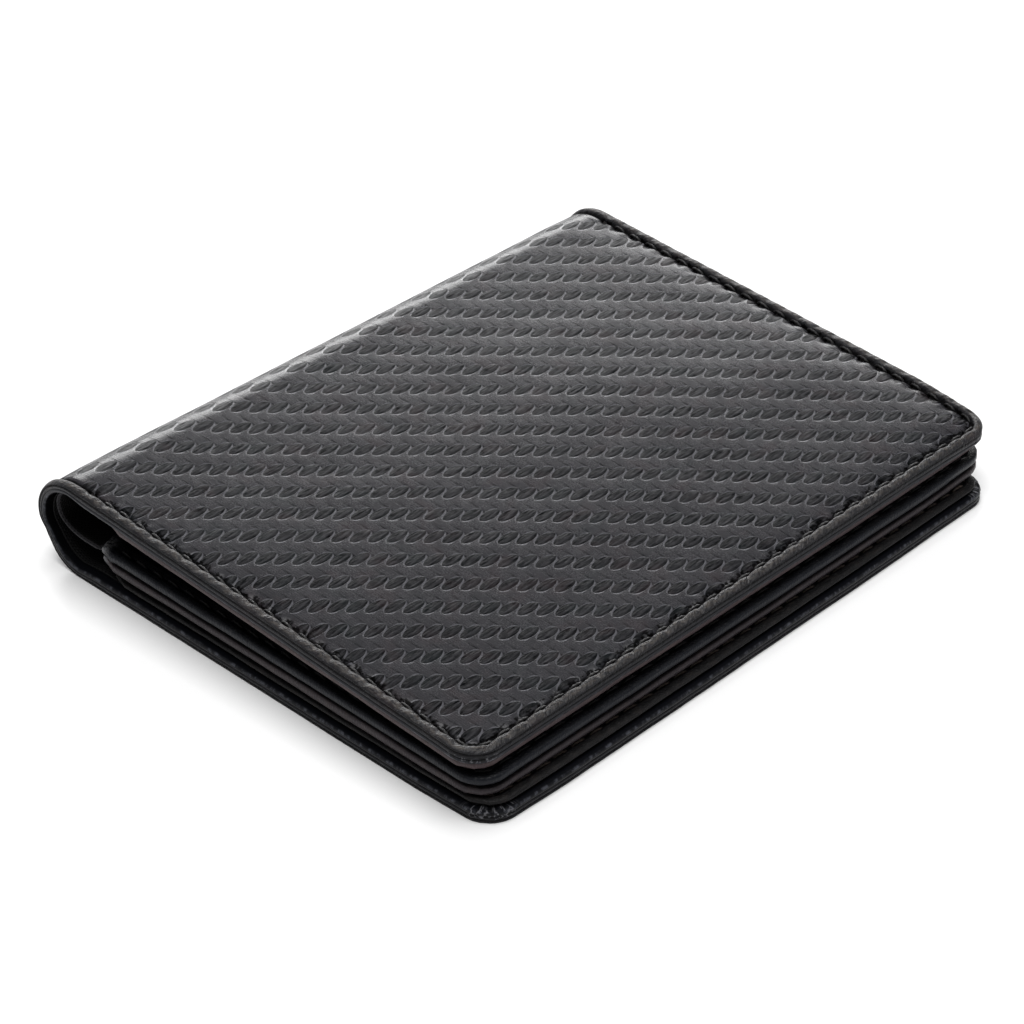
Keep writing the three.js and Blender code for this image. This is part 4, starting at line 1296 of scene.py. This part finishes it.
# ---------------------------------------------------------------- lining loop that hangs the leaf
def loop_line():
    """Centre line of the loop in X and Z, from under the front cover round to the leaf."""
    cx, cz, R = -43.35, 10.02, 3.72
    top = [(-36.0, 13.86), (-38.2, 13.98), (-40.4, 14.02), (-42.0, 13.90)]
    arc = [(cx + R * math.cos(a), cz + R * math.sin(a)) for a in np.radians(np.linspace(97, 263, 34))]
    low = [(-42.2, 6.36), (-40.8, 6.42), (-39.4, 6.42), (-38.4, 6.40)]
    p = np.array(top + arc + low)
    # even spacing
    s = np.concatenate([[0], np.cumsum(np.hypot(*np.diff(p, axis=0).T))])
    n = 80
    t = np.linspace(0, s[-1], n)
    q = np.stack([np.interp(t, s, p[:, 0]), np.interp(t, s, p[:, 1])], 1)
    for _ in range(6):
        q[1:-1] = 0.25 * q[:-2] + 0.5 * q[1:-1] + 0.25 * q[2:]
    return q, s[-1]


LOOPQ, LOOPLEN = loop_line()
_lt = np.gradient(LOOPQ, axis=0); _lt /= np.linalg.norm(_lt, axis=1, keepdims=True)
LOOPN = np.stack([_lt[:, 1], -_lt[:, 0]], 1) * -1.0        # outwards, away from the roll's middle


def on_loop(s, y, h):
    s, y, h = np.broadcast_arrays(*[np.asarray(q, float) for q in (s, y, h)])
    t = s / LOOPLEN * (len(LOOPQ) - 1)
    k = np.arange(len(LOOPQ))
    f = lambda col: np.interp(t, k, col)
    wav = 0.10 * vnoise(y / 14.0, s / 6.0, 91) + 0.25 * sstep(np.abs(y), 52.0, 57.5) * vnoise(y * 0 + 3.1, s / 3.5, 92)
    return np.stack([f(LOOPQ[:, 0]) + f(LOOPN[:, 0]) * (h + wav), y, f(LOOPQ[:, 1]) + f(LOOPN[:, 1]) * (h + wav)], -1)


def hinge_loop():
    sl = Slab(0.0, LOOPLEN, -57.7, 57.7, [0.8] * 4, 0.6, 0.4, xs=axis_points(0.6, LOOPLEN - 0.6, 0.4), ys=axis_points(-57.1, 57.1, 1.2))
    T = 0.27
    edge = lambda D: 0.10 * gauss(D + 0.7, 0.5)
    U, V, H, D, Q, F = sl.build(lambda X_, Y_, D, Q: T - 0.06 + edge(D), [(-0.35, T), (-0.12, T - 0.08), (0.0, 0.08), (0.0, -0.08), (-0.12, -T + 0.08), (-0.35, -T)], lambda X_, Y_: -T + 0.06, None)
    pos = settle(on_loop(U, V, H))
    i = int(np.argmin(np.abs(U - LOOPLEN / 2) + np.abs(V) + (H < 0) * 1e3))
    F, nor = faced(pos, F, i, (-1, 0, 0))
    o = new_mesh("leaf_hinge_loop", pos, F, {"lat": np.stack([U, V, D], -1)}, mat=M_LOOP)
    top, low = settle(np.array([-43.35, 0.0, 13.9])) * MM, settle(np.array([-43.35, 0.0, 6.2])) * MM
    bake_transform(o)
    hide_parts("leaf_hinge_front_half", "leaf_hinge_leaf_half")


hinge_loop()


# ---------------------------------------------------------------- thread
r4 = (CORNER,) * 4
outer_place = lambda x, y, z: roll_out(x, y, z)
seam_thread("front_seam_thread", outer_place, (FRONT_Q0, UL, -HALF_H, HALF_H, (0.0, CORNER, CORNER, 0.0)), "nfb", -0.06, "front", ["front_stitching"], pitch=PITCH, ends=(SEAM_D * 0 - 0.0, 0.0), rise=0.34,
            parts=[(inner_front, (5.2, 86.8, -58.7, 58.7, (0.9, 4.3, 4.3, 0.9)), "nfb", 3.80 + 0.05, -1.9, (1.2, 1.2))])
back_out = lambda x, y, z: roll_out(U1 - np.asarray(x, float), y, z)
seam_thread("back_seam_thread", back_out, (2.0, BACK_LEN, -HALF_H, HALF_H, (0.0, CORNER, CORNER, 0.0)), "nfb", -0.36, "back", ["back_stitching"], pitch=PITCHB, rise=0.30,
            parts=[(on_back, (5.2, BACK_LEN - 0.9, -58.6, 58.6, (0.9, 4.2, 4.2, 0.9)), "nfb", 3.15 + 0.06, -1.9, (1.2, 1.2))], seed=23, mat=M_THREADB)
seam_thread("leaf_seam_thread", on_leaf, (0.0, LEAF_LEN, -LEAF_HH, LEAF_HH, (0.9, 4.6, 4.6, 0.9)), "nfb", 0.06, "leaf", ["leaf_stitching"], ends=(1.5, 1.5), rise=0.30,
            parts=[(inner_leaf, (0.0, LEAF_LEN, -LEAF_HH, LEAF_HH, (0.9, 4.6, 4.6, 0.9)), "nfb", 3.30 + 0.05, -1.9, (1.5, 1.5))], seed=33)

# ---------------------------------------------------------------- camera, floor, light
cam = bpy.data.objects.new("camera", bpy.data.cameras.new("camera"))
bpy.context.scene.collection.objects.link(cam)
bpy.context.scene.camera = cam


def aim():
    az, el, rl = math.radians(43.90448960), math.radians(37.275412), math.radians(1.2880326)
    t = np.array([-4.74912673, 4.88148424, 260.83953765])
    back = np.array([math.sin(az) * math.cos(el), -math.cos(az) * math.cos(el), math.sin(el)])
    fwd = -back
    right = np.cross(fwd, [0, 0, 1.0]); right /= np.linalg.norm(right)
    up = np.cross(right, fwd)
    r2 = right * math.cos(rl) + up * math.sin(rl)
    u2 = -right * math.sin(rl) + up * math.cos(rl)
    R = np.array([r2, u2, fwd])
    Mf = np.array([fx, [0, 1, 0], ft])
    O = FP + 32.3 * fx + np.array([0, -9.5, 0])
    C = O + 2.0 * (Mf.T @ (R.T @ (-t)))
    Rw = R @ Mf
    m = Matrix(((Rw[0][0], Rw[1][0], -Rw[2][0], C[0] * MM),
                (Rw[0][1], Rw[1][1], -Rw[2][1], C[1] * MM),
                (Rw[0][2], Rw[1][2], -Rw[2][2], C[2] * MM),
                (0, 0, 0, 1)))
    return m


cam.matrix_world = aim()
cam.data.sensor_width = 36.0
cam.data.lens = 3296.6138 / 1024 * 36.0
cam.data.clip_start, cam.data.clip_end = 0.01, 50.0

floor_me = bpy.data.meshes.new("floor")
floor_me.from_pydata([(-3, -3, 0), (3, -3, 0), (3, 3, 0), (-3, 3, 0)], [], [(0, 1, 2, 3)])
floor = bpy.data.objects.new("floor", floor_me)
bpy.context.scene.collection.objects.link(floor)
fm, fn, fb = material("floor")
# paper that is evenly bright all over the picture: a little less white under the lamp
_tc = fn.node("ShaderNodeTexCoord")
_sep = fn.node("ShaderNodeSeparateXYZ")
fm.node_tree.links.new(_tc.outputs["Object"], _sep.inputs[0])
_fx, _fy = X(fn, _sep.outputs[0]), X(fn, _sep.outputs[1])
_far = fn.step((_fx.sq() + _fy.sq()).pow(0.5), 0.05, 0.40)
fn.put(fb.inputs["Base Color"], fn.mix(_far.s, (0.878, 0.878, 0.878, 1), (0.93, 0.93, 0.93, 1)))
fb.inputs["Roughness"].default_value = 0.6
fb.inputs["Specular IOR Level"].default_value = 0.2
floor_me.materials.append(fm)

WORLD = 0.24
world = bpy.data.worlds.new("studio")
bpy.context.scene.world = world
world.use_nodes = True
bg = world.node_tree.nodes["Background"]
bg.inputs[0].default_value = (1, 1, 1, 1)
bg.inputs[1].default_value = WORLD


def area(name, loc, target, size, power, color=(1, 1, 1), shape="RECTANGLE", size_y=None):
    L = bpy.data.lights.new(name, "AREA")
    L.shape = shape
    L.size = size
    if shape == "RECTANGLE":
        L.size_y = size_y or size
    L.energy = power
    L.color = color
    o = bpy.data.objects.new(name, L)
    bpy.context.scene.collection.objects.link(o)
    o.location = loc
    o.rotation_mode = "QUATERNION"
    o.rotation_quaternion = (Vector(target) - Vector(loc)).to_track_quat("-Z", "Y")
    return o


WA = math.radians(43.0)
area("overhead", (0.0, 0.0, 1.3), (0, 0, 0), 1.0, 19.5)
_h = Vector((-math.cos(WA), math.sin(WA), 0))
_el = math.radians(18.0)
area("back_softbox", tuple(_h * (1.3 * math.cos(_el)) + Vector((0, 0, 1.3 * math.sin(_el)))), (0, 0, 0.0), 0.90, 10.3, size_y=0.46)
bpy.context.scene.view_settings.view_transform = "Standard"
bpy.context.scene.view_settings.look = "None"
